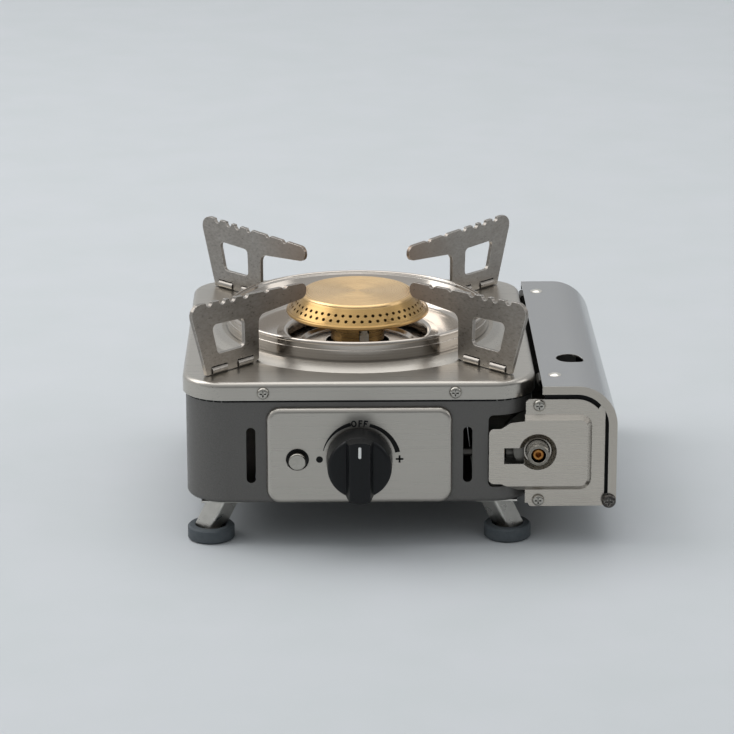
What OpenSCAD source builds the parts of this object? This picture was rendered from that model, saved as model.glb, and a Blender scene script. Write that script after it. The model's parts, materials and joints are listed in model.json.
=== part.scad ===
// Butane cassette stove: pressed steel housing, brass burner, four folding pot supports,
// and a cartridge bay on the right under a hinged cover.
// X runs to the right, Y to the back, Z up. The origin is on the floor, below the burner's axis.

/* [Sheet metal] */
// Thickness of the pressed steel
sheet = 1; // [0.8:0.1:1.2]
// Outside radius of a pressed edge
edge_r = 3; // [2.5:0.1:3.5]

/* [Housing] */
// Width of the top plate
top_w = 206; // [200:1:220]
// Depth of the top plate
top_d = 221; // [216:1:236]
// Corner radius of the top plate
top_r = 25; // [22:1:28]
// Height of the top plate's surface above the floor
top_z = 100; // [98:1:108]
// Height of the top plate's skirt
skirt_h = 10.5; // [9:0.5:13]
// How far the skirt stands outside the housing at each side
side_step = 1.7; // [1.3:0.1:2.5]
// Height of the housing's bottom edge above the floor
body_z = 26; // [25:0.5:30]
// Width of the lip turned in round the bottom of the housing
lip_w = 12; // [9:1:15]
// Distance of the two vent slots from the middle
vent_x = 63; // [60:0.5:63]
// Width of a vent slot
vent_w = 5.4; // [4:0.2:6]
// Height of a vent slot
vent_h = 34; // [24:1:38]

/* [Plateau and drip bowl] */
// Distance of the round plateau's foot inside the sides of the top plate
plateau_in = 11; // [9:0.5:13]
// Width of the plateau's slope
slope_w = 9.5; // [8:0.5:10]
// Height of the plateau
plateau_h = 3.3; // [2.5:0.1:4]
// Distance of the drip bowl inside the plateau's crest
bowl_in = 3; // [2.5:0.5:5]
// Width of the ledge that the drip bowl stands on
seat_w = 7.5; // [6:0.5:8]
// Height of the drip bowl's band
bowl_h = 11.5; // [10:0.5:13]
// How far the drip bowl's floor lies below the plateau
bowl_dip = 6; // [4:0.5:7]
// Radius of the drip bowl's centre hole
bowl_hole_r = 42; // [40:0.5:44]

/* [Burner] */
// Radius of the burner's flat top
disc_r = 34.3; // [32:0.5:35]
// Outside radius of the burner's flange
flange_r = 43.4; // [42:0.2:45]
// Height of the burner's top above the top plate
burner_rise = 23.8; // [22:0.5:26]
// Height of the burner's cap
cap_h = 12.9; // [12:0.1:14]
// Number of flame ports in a row
port_count = 52; // [40:2:54]
// Radius of a flame port
port_r = 1; // [0.6:0.05:1.1]
// Outside radius of the burner's neck
neck_r = 16.3; // [15.5:0.1:18]
// Wall thickness of the neck
neck_wall = 2.6; // [2:0.2:3.2]

/* [Pot supports] */
// Distance of a support's outer foot from the edges of the top plate
support_inset = 14; // [13:0.5:16]
// Thickness of a support
support_t = 2.4; // [2:0.1:2.6]
// Length of a support's foot
support_foot = 41.8; // [40:0.5:43]
// Reach of a support from its outer foot to its tip
support_reach = 81.3; // [76:0.5:84]
// Height of a support above the top plate
support_h = 45; // [42:0.5:47]
// How far the top of a support leans out past its foot
support_lean = 13.5; // [10:0.5:15]
// Radius of the round hinge rod along a support's foot
rod_r = 1.2; // [1:0.1:1.4]
// Clearance round the hinge rod
rod_gap = 0.06; // [0.03:0.01:0.1]
// Wall thickness of a hinge loop
loop_wall = 1.1; // [0.9:0.1:1.3]
// Length of a hinge loop
loop_len = 12; // [9:0.5:13]

/* [Control panel] */
// Width of the control panel
panel_w = 108; // [100:1:110]
// Height of the control panel
panel_h = 58.2; // [52:0.5:59]
// How far the panel stands out of the housing
panel_proud = 3.5; // [3:0.1:4.5]
// Corner radius of the panel
panel_r = 8; // [6:0.5:12]
// Height of the knob's axis above the housing's bottom edge
knob_up = 28.2; // [26:0.2:30]
// Radius of the knob
knob_r = 19.2; // [17:0.2:20]
// Depth of the knob's round body
knob_depth = 16.5; // [14:0.5:19]
// Width of the knob's grip bar
grip_w = 11.8; // [9:0.2:14]
// How far the grip bar stands out of the knob's face
grip_proud = 8.5; // [6:0.5:11]
// Radius of the valve stem
stem_r = 3; // [2.5:0.1:3.5]
// Clearance round the valve stem
stem_gap = 0.05; // [0.03:0.01:0.1]
// Distance of the igniter button to the left of the knob
button_left = 36; // [34:0.5:38]
// Radius of the igniter button
button_r = 5.1; // [4.5:0.1:5.4]
// Clearance round the igniter button
button_gap = 0.06; // [0.03:0.01:0.1]
// Travel of the igniter button
button_travel = 4; // [3:0.2:4]

/* [Cartridge bay] */
// Diameter of the gas cartridge
can_d = 67; // [66:0.5:69]
// Length of the gas cartridge
can_len = 184; // [180:0.5:186]
// Free space round the cartridge
can_gap = 0.5; // [0.3:0.1:1]
// Distance of the cartridge's axis outside the top plate's edge
can_out = 0.7; // [0:0.1:2]
// How far the bay's tray lies below the housing's bottom edge
tray_drop = 2.8; // [2:0.1:3]
// Gap between the top plate and the bay cover
cover_gap = 3; // [2:0.2:5]
// Width of the bay cover
cover_w = 43.8; // [43:0.2:47]
// How far the cover's top lies below the top plate
cover_drop = 2.5; // [1:0.1:3]
// Gap between the bay cover and each end plate
end_gap = 1; // [0.8:0.1:2]
// Outside corner radius of the bay cover
cover_r = 24; // [20:0.5:26]
// Width of the flange turned in at each end of the cover
cover_rim = 5; // [4:0.2:5.6]
// Radius of the finger hole in the cover
finger_r = 8.25; // [7:0.25:9]
// Height of the cover's lower edge above the hinge axis
cover_lift = 4.6; // [4.2:0.1:6]
// Distance of the hinge axis inside the cover's outer side
hinge_in = 4.3; // [4:0.1:5]
// Height of the hinge axis above the tray's underside
hinge_up = 4.2; // [4:0.1:5]
// Radius of the hinge screw's shank
hinge_r = 2; // [1.6:0.1:2.2]
// Clearance round the hinge screw
hinge_gap = 0.05; // [0.03:0.01:0.1]

/* [Regulator] */
// Radius of the regulator's sleeve
sleeve_r = 6.6; // [6:0.1:7]
// How far the sleeve stands out of the end plate
sleeve_proud = 9; // [7:0.5:11]
// Radius of the regulator's body
regulator_r = 14; // [13:0.5:15]
// Radius of the flange that carries the magnet
magnet_r = 20.5; // [19:0.1:20.6]
// Radius of the socket for the cartridge's nozzle
socket_r = 4.6; // [4:0.1:5]
// Depth of the socket
socket_len = 9; // [7:0.5:10]
// Radius of the gas pipe
pipe_r = 2.5; // [2:0.1:3]

/* [Feet] */
// Distance of a foot's axis inside the sides of the top plate
foot_in_x = 15.6; // [13:0.2:19]
// Distance of a foot's axis inside the top plate's front and back
foot_in_y = 16.2; // [14:0.2:20]
// Outside radius of a foot ring
ring_r = 13.8; // [13:0.1:15]
// Height of a foot ring
ring_h = 8.4; // [7:0.2:10]
// Thickness of a leg
leg_t = 1.2; // [1:0.1:1.4]

/* [Fasteners] */
// Radius of a screw head
head_r = 3.5; // [3:0.1:3.8]
// Height of a screw head
head_h = 2; // [1.6:0.1:2.4]
// Radius of a screw shank
shank_r = 1.8; // [1.5:0.1:2]
// Radius of a rivet head on the cover
rivet_r = 4; // [3.5:0.1:4.5]

/* [Hidden] */
$fn = 48;
STEEL = "#8f8d88";
PAINT = "#4f4f4d";
BRASS = "#d2a95e";
BRIGHT = "#b9b8b4";
BLACK = "#1b1d1f";
RUBBER = "#4b5257";
HEATED = "#6b625b";
WHITE = "#ece9e0";

tiny = 0.01;
through = 400;
body_w = top_w - 2 * side_step;
body_d = top_d - 2 * sheet;
body_r = top_r - sheet;
front_y = body_d / 2;
under_top = top_z - sheet;
body_top = top_z - edge_r;
knob_z = body_z + knob_up;
panel_y = front_y + panel_proud;
panel_z = body_z + 1 + panel_h / 2;

foot_r = top_w / 2 - plateau_in;
crest_r = foot_r - slope_w;
bowl_r = crest_r - bowl_in;
open_r = bowl_r - seat_w;
plateau_z = top_z + plateau_h;
burner_z = top_z + burner_rise;
cap_z = burner_z - cap_h;
flange_h = 2.5;
base_h = 2.4;
base_z = cap_z - base_h;
riser_z = base_z - 14;
riser_r = neck_r - neck_wall - 0.05;
tube_r = 9;
tube_wall = 1.5;

can_r = can_d / 2;
bay_r = can_r + can_gap;
can_x = top_w / 2 + can_out;
tray_z = body_z - tray_drop;
can_z = tray_z + sheet + can_r;
bay_left = can_x - bay_r - sheet;
cover_x = top_w / 2 + cover_gap;
cover_right = cover_x + cover_w;
cover_z = top_z - cover_drop;
hinge_x = cover_right - hinge_in;
hinge_z = tray_z + hinge_up;
plate_right = cover_right - 7;
plate_top = cover_z - 8.5;
plate_left = can_x - 7.1;
plate_bottom = tray_z + 0.4;
tray_right = plate_right - 1;
cover_len = 2 * (front_y + sheet + end_gap);
corner_y = front_y - top_r + 3;
foot_x = top_w / 2 - foot_in_x;
foot_y = top_d / 2 - foot_in_y;

// The opening in the housing's front corner, which the end plate's tongue enters
tongue_reach = 28.4;
tongue_left = can_x - tongue_reach;
window_left = tongue_left - 0.3;
window_low = can_z - 22.2;
window_high = can_z + 21.8;

// The regulator, from the end plate back into the bay
bulkhead_y = -front_y + sheet;
bulkhead_t = 1.5;
regulator_y = bulkhead_y + bulkhead_t;
flange_y = regulator_y + 12.5;
magnet_y = flange_y + 5;
magnet_t = 3;
can_front = magnet_y + magnet_t + 0.5;
pipe_y = regulator_y + 8;

support_x = top_w / 2 - support_inset;
support_y = top_d / 2 - support_inset;

// ---- Outlines and sweeps -------------------------------------------------

function unit(v) = v / norm(v);
function left_of(v) = [-v[1], v[0]];
function turned(a) = a > 180 ? a - 360 : a < -180 ? a + 360 : a;

// Normal of a polyline at point i, long enough to keep a strip's thickness round a bend
function miter(p, i) =
    let (before = unit(i > 0 ? p[i] - p[i - 1] : p[i + 1] - p[i]),
         after = unit(i < len(p) - 1 ? p[i + 1] - p[i] : p[i] - p[i - 1]),
         n = unit(left_of(before) + left_of(after)))
    n / (n * left_of(before));

// Outline of sheet metal that runs along p, with its thickness t on the left
function strip(p, t) = concat(p, [for (i = [len(p) - 1 : -1 : 0]) p[i] + t * miter(p, i)]);

// Arc that rounds the corner b between a and c
function corner_arc(a, b, c, r, steps = 5) =
    let (u = unit(a - b), v = unit(c - b), half = acos(u * v) / 2,
         centre = b + unit(u + v) * r / sin(half),
         from = b + u * r / tan(half) - centre, to = b + v * r / tan(half) - centre,
         start = atan2(from[1], from[0]), sweep = turned(atan2(to[1], to[0]) - start))
    [for (i = [0 : steps]) centre + r * [cos(start + sweep * i / steps), sin(start + sweep * i / steps)]];

// Closed outline through corners given as [x, y, radius]
function rounded(c) = [for (i = [0 : len(c) - 1])
    let (n = len(c), a = c[(i + n - 1) % n], b = c[i], d = c[(i + 1) % n])
    each b[2] > 0 ? corner_arc([a[0], a[1]], [b[0], b[1]], [d[0], d[1]], b[2]) : [[b[0], b[1]]]];

// Points along an arc round [x, y]
function arc(x, y, r, a0, a1, steps = 6) =
    [for (i = [0 : steps]) let (a = a0 + (a1 - a0) * i / steps) [x + r * cos(a), y + r * sin(a)]];

module rounded_rect(w, d, r) {
    square([w - 2 * r, d], center = true);
    square([w, d - 2 * r], center = true);
    for (x = [-1, 1], y = [-1, 1])
        translate([x * (w / 2 - r), y * (d / 2 - r)])
            circle(r);
}

// Sweeps a profile round a rounded rectangle. The profile's x = 0 is the outline, +x points outward.
module rim_sweep(w, d, r) {
    for (turn = [0, 180]) {
        rotate(turn)
            translate([-w / 2 + r, d / 2, 0])
                rotate([90, 0, 90])
                    linear_extrude(w - 2 * r)
                        children();
        rotate(turn + 90)
            translate([-d / 2 + r, w / 2, 0])
                rotate([90, 0, 90])
                    linear_extrude(d - 2 * r)
                        children();
    }
    for (i = [0 : 3])
        translate([(i == 0 || i == 3 ? 1 : -1) * (w / 2 - r), (i < 2 ? 1 : -1) * (d / 2 - r), 0])
            rotate(90 * i)
                rotate_extrude(angle = 90)
                    translate([r, 0])
                        children();
}

// Quarter ring of sheet, from the side at x = 0 over the edge at y = 0
module edge_ring(r, t) {
    translate([-r, -r])
        intersection() {
            difference() {
                circle(r);
                circle(r - t);
            }
            square(r);
        }
}

// Skirt of a pressed pan: a wall below, and an edge rounded over to the top at y = 0
module pan_profile(h, r, t) {
    translate([-t, -h])
        square([t, h - r]);
    edge_ring(r, t);
}

// Shallow pressed pan that opens downward, with its face at z = 0
module pan(w, d, corner, h, r, t) {
    rim_sweep(w, d, corner)
        pan_profile(h, r, t);
    translate([0, 0, -t])
        linear_extrude(t)
            rounded_rect(w - 2 * r, d - 2 * r, corner - r);
}

module obround(w, h, depth) {
    cube([w, h - w, depth], center = true);
    for (s = [-1, 1])
        translate([0, s * (h - w) / 2, 0])
            cylinder(r = w / 2, h = depth, center = true);
}

// Turns a shape that is drawn upright in X and Y, with its depth along Z, to face the front at y
module facing_front(x, y, z) {
    translate([x, y, z])
        rotate([90, 0, 0])
            children();
}

// Tube of wire along a path; "up" is a direction that the path never takes
module wire(path, r, sides, up) {
    n = len(path);
    rings = [for (i = [0 : n - 1])
        let (t = unit(path[min(i + 1, n - 1)] - path[max(i - 1, 0)]),
             u = unit(cross(t, up)), v = cross(u, t))
        each [for (k = [0 : sides - 1]) path[i] + r * (cos(360 * k / sides) * u + sin(360 * k / sides) * v)]];
    skin = [for (i = [0 : n - 2], k = [0 : sides - 1])
        let (a = i * sides + k, b = i * sides + (k + 1) % sides)
        [a, b, b + sides, a + sides]];
    first = [for (k = [sides - 1 : -1 : 0]) k];
    last = [for (k = [0 : sides - 1]) (n - 1) * sides + k];
    polyhedron(rings, concat(skin, [first, last]));
}

function coil(r, length, turns, steps) =
    [for (i = [0 : turns * steps]) [r * cos(360 * i / steps), r * sin(360 * i / steps), length * i / (turns * steps)]];

// Domed screw with a cross recess: the head stands on z = 0, the shank runs down
module screw(r, h, shank, length) {
    difference() {
        rotate_extrude()
            polygon(concat([[0, 0], [r, 0]], arc(r - h * 0.8, h * 0.2, h * 0.8, 0, 90, 4), [[0, h]]));
        for (a = [0, 90])
            rotate(a)
                translate([0, 0, h])
                    cube([r * 1.1, r * 0.28, h], center = true);
    }
    translate([0, 0, -length])
        cylinder(r = shank, h = length);
}

module at_corner(sx, sy) {
    translate([sx * support_x, sy * support_y, top_z])
        rotate(atan2(-sy, -sx))
            children();
}

// ---- Housing -------------------------------------------------------------

// Everything of the housing that makes room for the cartridge bay
module bay_clearance() {
    translate([bay_left + 6, -corner_y + 1, 0])
        cube([through, through, through]);
    facing_front(0, 0, 0)
        linear_extrude(through)
            polygon(rounded([[window_left, window_low, 3], [top_w, window_low, 0],
                [top_w, window_high, 0], [window_left, window_high, 3]]));
    translate([bay_left - 0.3, 0, 0])
        cube([through, through, body_z + edge_r]);
}

module body_shell() color(PAINT) {
    difference() {
        translate([0, 0, body_z])
            mirror([0, 0, 1])
                rim_sweep(body_w, body_d, body_r) {
                    union() {
                        translate([-sheet, -(body_top - body_z)])
                            square([sheet, body_top - body_z - edge_r]);
                        edge_ring(edge_r, sheet);
                        translate([-lip_w, -sheet])
                            square([lip_w - edge_r, sheet]);
                    }
                }
        bay_clearance();
        for (s = [-1, 1])
            facing_front(s * vent_x, -front_y, panel_z - 0.5)
                obround(vent_w, vent_h, 4 * edge_r);
        facing_front(0, -front_y, knob_z)
            cylinder(r = stem_r + 3, h = 10, center = true);
        facing_front(-button_left, -front_y, knob_z)
            cylinder(r = button_r + 2.1, h = 10, center = true);
        for (s = [-1, 1])
            facing_front(s * valve_screw_x, -front_y, knob_z)
                cylinder(r = shank_r + 0.1, h = 10, center = true);
        for (s = [-1, 1], y = [-1, 1])
            facing_front(s * skirt_screw_x, y * front_y, skirt_screw_z)
                cylinder(r = shank_r + 0.1, h = 10, center = true);
        for (row = [0 : 3])
            facing_front(-body_w / 2, 20 * (row - 1.5), panel_z)
                rotate([0, 90, 0])
                    obround(vent_w, vent_h, 4 * edge_r);
    }
}

module bottom_plate() color(PAINT) {
    inset = edge_r + 0.2;
    right = bay_left - 0.5;
    difference() {
        translate([0, 0, body_z + sheet])
            linear_extrude(sheet)
                rounded_rect(body_w - 2 * inset, body_d - 2 * inset, body_r - inset);
        translate([right, -through / 2, 0])
            cube([through, through, through]);
        for (row = [-2 : 2], y = [-1, 1])
            translate([-15 + 22 * row, y * 55, body_z + sheet])
                obround(vent_w, vent_h, 4 * sheet);
    }
}

skirt_screw_x = 55.6;
skirt_screw_z = top_z - 6;
valve_screw_x = 15.5;

module top_plate() color(STEEL) {
    relief = cover_drop + 3;
    difference() {
        union() {
            translate([0, 0, top_z])
                pan(top_w, top_d, top_r, skirt_h, edge_r, sheet);
            rotate_extrude()
                polygon([[foot_r + 1, under_top], [foot_r + 1, top_z], [foot_r, top_z],
                    [crest_r, plateau_z], [open_r, plateau_z], [open_r, plateau_z - sheet],
                    [crest_r - 0.3, plateau_z - sheet], [foot_r - 0.3, under_top]]);
        }
        cylinder(r = open_r - tiny, h = through);
        intersection() {
            cylinder(r = foot_r - 0.3, h = under_top + tiny);
            cylinder(r = foot_r, h = through);
        }
        plateau_void();
        translate([top_w / 2 - edge_r - 2, -corner_y + 1, 0])
            cube([through, 2 * corner_y + 14, top_z - relief]);
        for (s = [-1, 1], y = [-1, 1])
            facing_front(s * skirt_screw_x, y * front_y, skirt_screw_z)
                cylinder(r = shank_r + 0.1, h = 10, center = true);
    }
}

// The flat blank inside the plateau's foot, above and below the raised sheet
module plateau_void() {
    rotate_extrude()
        polygon([[0, under_top - tiny], [foot_r - 0.3, under_top - tiny], [crest_r - 0.3, plateau_z - sheet],
            [open_r - 1, plateau_z - sheet], [0, plateau_z - sheet]]);
}

module skirt_screws() color(BRIGHT) {
    for (s = [-1, 1], turn = [0, 180])
        rotate(turn)
            facing_front(s * skirt_screw_x, -top_d / 2, skirt_screw_z)
                screw(head_r, head_h, shank_r, 6);
}

// ---- Drip bowl and burner ------------------------------------------------

module drip_bowl() color(STEEL) {
    bead_r = 1.3;
    step = 0.4;
    band_r = bowl_r - step;
    rim_z = plateau_z + bowl_h - bead_r;
    floor_z = plateau_z - bowl_dip;
    bend_r = 6;
    under = concat([[band_r - sheet, rim_z - 1.2], [bowl_r - 4, rim_z - 1.2]],
        arc(bowl_r - 10 - bend_r, floor_z + bend_r, bend_r, -15, -88, 5),
        [[bowl_hole_r + 7, floor_z]],
        arc(bowl_hole_r + 2.6, floor_z - 0.1, 1.6, 60, 190, 5));
    rotate_extrude()
        polygon(concat(
            [[band_r - sheet, plateau_z], [bowl_r, plateau_z], [bowl_r, rim_z - bead_r - 2.6],
                [band_r, rim_z - bead_r - 2.4]],
            arc(bowl_r - bead_r, rim_z, bead_r, -45, 165, 8),
            [for (i = [1 : len(under) - 1]) under[i] - sheet * miter(under, i)],
            [for (i = [len(under) - 1 : -1 : 0]) under[i]]));
}

// Brass crown with two staggered rows of flame ports through its cone
module burner_cap() color(BRASS) {
    wall = 2.4;
    edge = 2;
    shoulder_z = burner_z - edge;
    lip_z = cap_z + flange_h;
    cone_r = flange_r - 1.6;
    slope = atan2(shoulder_z - lip_z, cone_r - disc_r);
    difference() {
        rotate_extrude()
            polygon(concat([[0, burner_z]], arc(disc_r - edge, shoulder_z, edge, 90, 10, 4), [[cone_r, lip_z]],
                arc(flange_r - flange_h / 2, lip_z - flange_h / 2, flange_h / 2, 80, -90, 7),
                [[flange_r - 5, cap_z], [flange_r - 5, cap_z + 0.6], [cone_r - wall - 0.6, lip_z - 0.4],
                    [disc_r - wall, burner_z - wall], [0, burner_z - wall]]));
        for (i = [0 : port_count - 1], row = [0, 1]) {
            along = row == 0 ? 0.42 : 0.745;
            rotate((i + row / 2) * 360 / port_count)
                translate([disc_r + (cone_r - disc_r) * along, 0, shoulder_z - (shoulder_z - lip_z) * along])
                    rotate([0, 90 - slope, 0])
                        cylinder(r = port_r, h = 3.2 * wall, center = true, $fn = 16);
        }
    }
}

gap_x = 3.8;
gap_w = 6;

// Brass base: a dish under the crown, a neck below it, and a slot for the spark electrode
module burner_base() color(BRASS) {
    seat_r = flange_r - 5;
    difference() {
        rotate_extrude()
            polygon([[neck_r - neck_wall, riser_z], [neck_r, riser_z], [neck_r, base_z - 0.8],
                [neck_r + 1.2, base_z - 0.2], [seat_r - 6, base_z], [seat_r + 2, cap_z - 0.7],
                [seat_r + 2.6, cap_z], [seat_r - 1.4, cap_z], [seat_r - 2.6, cap_z - 0.8],
                [neck_r - neck_wall, cap_z - 1]]);
        translate([gap_x - gap_w / 2, -neck_r - 2, riser_z - 1])
            cube([gap_w, neck_wall + 5, base_z - riser_z + 0.6]);
    }
}

// Steel venturi tube from the jet to the burner's neck
module mixing_tube() color(BRIGHT) {
    mouth_y = jet_y + 6;
    difference() {
        union() {
            translate([0, 0, knob_z - tube_r - 1])
                cylinder(r = riser_r, h = cap_z - 1.2 - knob_z + tube_r + 1);
            facing_front(0, 0, knob_z)
                cylinder(r = tube_r, h = -mouth_y);
            facing_front(0, mouth_y + 8, knob_z)
                cylinder(r1 = tube_r, r2 = tube_r + 3, h = 8);
        }
        translate([0, 0, knob_z - tube_r + 1])
            cylinder(r = riser_r - tube_wall, h = through);
        facing_front(0, 0, knob_z)
            cylinder(r = tube_r - tube_wall, h = through);
        facing_front(0, mouth_y + 8, knob_z)
            cylinder(r1 = tube_r - tube_wall, r2 = tube_r + 3 - tube_wall, h = 8 + tiny);
        for (s = [-1, 1])
            translate([s * tube_r, mouth_y + 12, knob_z])
                cube([4 * tube_wall, 7, 6], center = true);
        translate([gap_x - gap_w / 2 - 0.5, -neck_r, ceramic_z - 3])
            cube([gap_w + 1, neck_wall + 4, through]);
    }
}

module burner_bracket() color(BRIGHT) {
    low = body_z + 2 * sheet;
    high = knob_z - tube_r - 1;
    half = 19;
    translate([0, 12, 0])
        rotate([90, 0, 0])
            linear_extrude(24)
                polygon(strip([[-half - 10, low], [-half, low], [-half + 3, high - leg_t],
                    [half - 3, high - leg_t], [half, low], [half + 10, low]], leg_t));
}

// ---- Gas train -----------------------------------------------------------

valve_r = 11;
valve_front = -front_y + sheet;
valve_back = valve_front + 25;
jet_y = valve_back + 10;

module injector() color(BRASS) {
    difference() {
        union() {
            facing_front(0, valve_back + 5, knob_z)
                cylinder(r = 4.6, h = 5, $fn = 6);
            facing_front(0, jet_y, knob_z)
                cylinder(r1 = 1.4, r2 = 3.2, h = 5);
        }
        facing_front(0, jet_y + 1, knob_z)
            cylinder(r = 0.5, h = 12);
    }
}

module gas_valve() color(BRIGHT) {
    difference() {
        union() {
            facing_front(0, valve_back, knob_z)
                cylinder(r = valve_r, h = valve_back - valve_front);
            facing_front(0, valve_front + 2, knob_z)
                linear_extrude(2)
                    rounded_rect(2 * valve_screw_x + 9, 16, 4);
            translate([0, pipe_y, knob_z])
                rotate([0, 90, 0])
                    cylinder(r = pipe_r + 2, h = valve_r + 5);
        }
        facing_front(0, valve_front + 13, knob_z)
            cylinder(r = stem_r + stem_gap, h = 14);
        for (s = [-1, 1])
            facing_front(s * valve_screw_x, valve_front + 3, knob_z)
                cylinder(r = shank_r + 0.1, h = 4);
    }
}

module valve_screws() color(BRIGHT) {
    for (s = [-1, 1])
        facing_front(s * valve_screw_x, -front_y, knob_z)
            screw(head_r - 0.4, head_h, shank_r, 4);
}

stem_end = panel_y + 13;

module valve_stem() color(BRIGHT) {
    facing_front(0, valve_front + 12, knob_z)
        cylinder(r = stem_r, h = stem_end + valve_front + 12);
}

module knob() color(BLACK) {
    back = panel_y + 1;
    face = back + knob_depth;
    edge = 2.5;
    difference() {
        union() {
            facing_front(0, -back, knob_z)
                rotate_extrude()
                    polygon(concat([[0, 0], [knob_r - 0.6, 0], [knob_r, 0.6]],
                        arc(knob_r - edge - 0.6, knob_depth - edge, edge, 0, 90), [[0, knob_depth]]));
            intersection() {
                facing_front(0, -back - 3, knob_z)
                    cylinder(r = knob_r - 0.8, h = face + grip_proud - back - 3);
                translate([0, 0, knob_z - knob_r])
                    linear_extrude(2 * knob_r)
                        polygon(rounded([[-grip_w / 2 - 2.2, -face + 3, 0], [grip_w / 2 + 2.2, -face + 3, 0],
                            [grip_w / 2 + 2, -face, 0.6], [grip_w / 2, -face - grip_proud, 0.8],
                            [-grip_w / 2, -face - grip_proud, 0.8], [-grip_w / 2 - 2, -face, 0.6]]));
            }
        }
        facing_front(0, -back + 1, knob_z)
            cylinder(r = stem_r + 0.02, h = stem_end - back + 1);
        facing_front(0, -back + 1, knob_z)
            difference() {
                cylinder(r = knob_r - 2.5, h = knob_depth - 4);
                cylinder(r = stem_r + 3, h = knob_depth);
            }
        facing_front(0, -face - grip_proud, knob_z + 12.6)
            obround(1.9, 7.2, 0.8);
    }
}

module gas_pipe() color(BRIGHT) {
    translate([valve_r + 5, pipe_y, knob_z])
        rotate([0, 90, 0])
            difference() {
                cylinder(r = pipe_r, h = can_x - regulator_r - 4 - valve_r - 5);
                translate([0, 0, -1])
                    cylinder(r = pipe_r - 0.8, h = through);
            }
}

module pipe_nuts() color(BRASS) {
    for (x = [valve_r + 5.5, can_x - regulator_r - 10])
        translate([x, pipe_y, knob_z])
            rotate([0, 90, 0])
                difference() {
                    cylinder(r = pipe_r + 2.4, h = 5, $fn = 6);
                    translate([0, 0, -1])
                        cylinder(r = pipe_r + 0.05, h = 7);
                }
}

// ---- Control panel and igniter -------------------------------------------

module control_panel() color(STEEL) {
    difference() {
        facing_front(0, -panel_y, panel_z)
            pan(panel_w, panel_h, panel_r, panel_proud, edge_r, sheet);
        facing_front(0, -panel_y, knob_z)
            cylinder(r = stem_r + 2.5, h = 10, center = true);
        facing_front(-button_left, -panel_y, knob_z)
            cylinder(r = button_r + 1.6, h = 10, center = true);
    }
}

button_back = front_y - 6;

module igniter_button() color(BRIGHT) {
    reach = panel_y + 5 - button_back;
    facing_front(-button_left, -button_back, knob_z) {
        rotate_extrude()
            polygon(concat([[0, 0], [button_r, 0]], arc(button_r - 1, reach - 1, 1, 0, 90, 4), [[0, reach]]));
    }
}

spring_len = 14;
spring_wire = 0.5;

module igniter_spring() color(BRIGHT) {
    facing_front(-button_left, -button_back + spring_len, knob_z)
        translate([0, 0, spring_wire])
            wire(coil(button_r - 1.4, spring_len - 2 * spring_wire, 6, 12), spring_wire, 6, [0, 0, 1]);
}

module piezo_igniter() color(BLACK) {
    bore_end = -button_back + spring_len;
    difference() {
        union() {
            facing_front(-button_left, bore_end + 14, knob_z)
                cylinder(r = button_r + 1.4, h = panel_y - 1 + bore_end + 14);
            facing_front(-button_left, bore_end + 14, knob_z)
                cylinder(r = button_r + 3.5, h = front_y - sheet + bore_end + 14);
        }
        facing_front(-button_left, bore_end, knob_z)
            cylinder(r = button_r + button_gap, h = through);
    }
}

lead_r = 1.2;
spark_y = -neck_r + neck_wall / 2;
ceramic_z = riser_z - 6;

// Insulated lead, laid by hand from the igniter's back to the foot of the electrode
module igniter_lead() color(WHITE) {
    start_y = -button_back + spring_len + 14;
    route = [[-button_left, start_y, knob_z], [-button_left, start_y + 6, knob_z],
        [-35.5, -68, 54.6], [-34, -62, 55.6], [-31, -56, 57], [-27, -50.5, 59], [-22.5, -45.5, 61.5],
        [-17.5, -41, 64], [-12.5, -36.5, 66.5], [-7.5, -32, 69], [-3.4, -27.5, 71.5],
        [-0.2, -23.4, 74.2], [2.2, -19.4, 77.4], [gap_x - 0.4, spark_y - 1.4, ceramic_z - 6],
        [gap_x, spark_y, ceramic_z - 2.4], [gap_x, spark_y, ceramic_z]];
    wire(route, lead_r, 8, [1, 0, 0]);
}

module electrode_insulator() color(WHITE) {
    translate([gap_x, spark_y, 0])
        difference() {
            rotate_extrude()
                polygon([[0, ceramic_z], [gap_w / 2 - 1, ceramic_z], [gap_w / 2 - 1, riser_z + 1],
                    [gap_w / 2 - 0.1, riser_z + 2], [gap_w / 2 - 0.1, riser_z + 6],
                    [gap_w / 2 - 1, riser_z + 7], [gap_w / 2 - 1, base_z - 4], [0, base_z - 4]]);
            translate([0, 0, ceramic_z + 2])
                cylinder(r = 0.85, h = through);
        }
}

module electrode() color(BRIGHT) {
    tip_z = base_z - 1.6;
    translate([gap_x, spark_y, ceramic_z + 2]) {
        cylinder(r = 0.8, h = tip_z - ceramic_z - 2);
        translate([0, 0, tip_z - ceramic_z - 2])
            rotate([90, 0, 0])
                translate([0, -0.8, 0])
                    cylinder(r = 0.8, h = 3.5);
    }
}

// ---- Regulator -----------------------------------------------------------

module regulator_body() color(BRIGHT) {
    difference() {
        union() {
            facing_front(can_x, magnet_y, can_z)
                cylinder(r = regulator_r, h = magnet_y - regulator_y);
            facing_front(can_x, magnet_y, can_z)
                cylinder(r = magnet_r, h = magnet_y - flange_y);
            facing_front(can_x, can_front - 1, can_z)
                cylinder(r = socket_r + 2.4, h = magnet_t + 2);
            translate([can_x - regulator_r - 4, pipe_y, knob_z])
                rotate([0, 90, 0])
                    cylinder(r = pipe_r + 2, h = regulator_r);
        }
        facing_front(can_x, can_front, can_z)
            cylinder(r = socket_r, h = socket_len + 1);
        facing_front(can_x, regulator_y + 6, can_z)
            cylinder(r = sleeve_r - 2.2, h = 10);
    }
}

sleeve_front = front_y + sleeve_proud;

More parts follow.
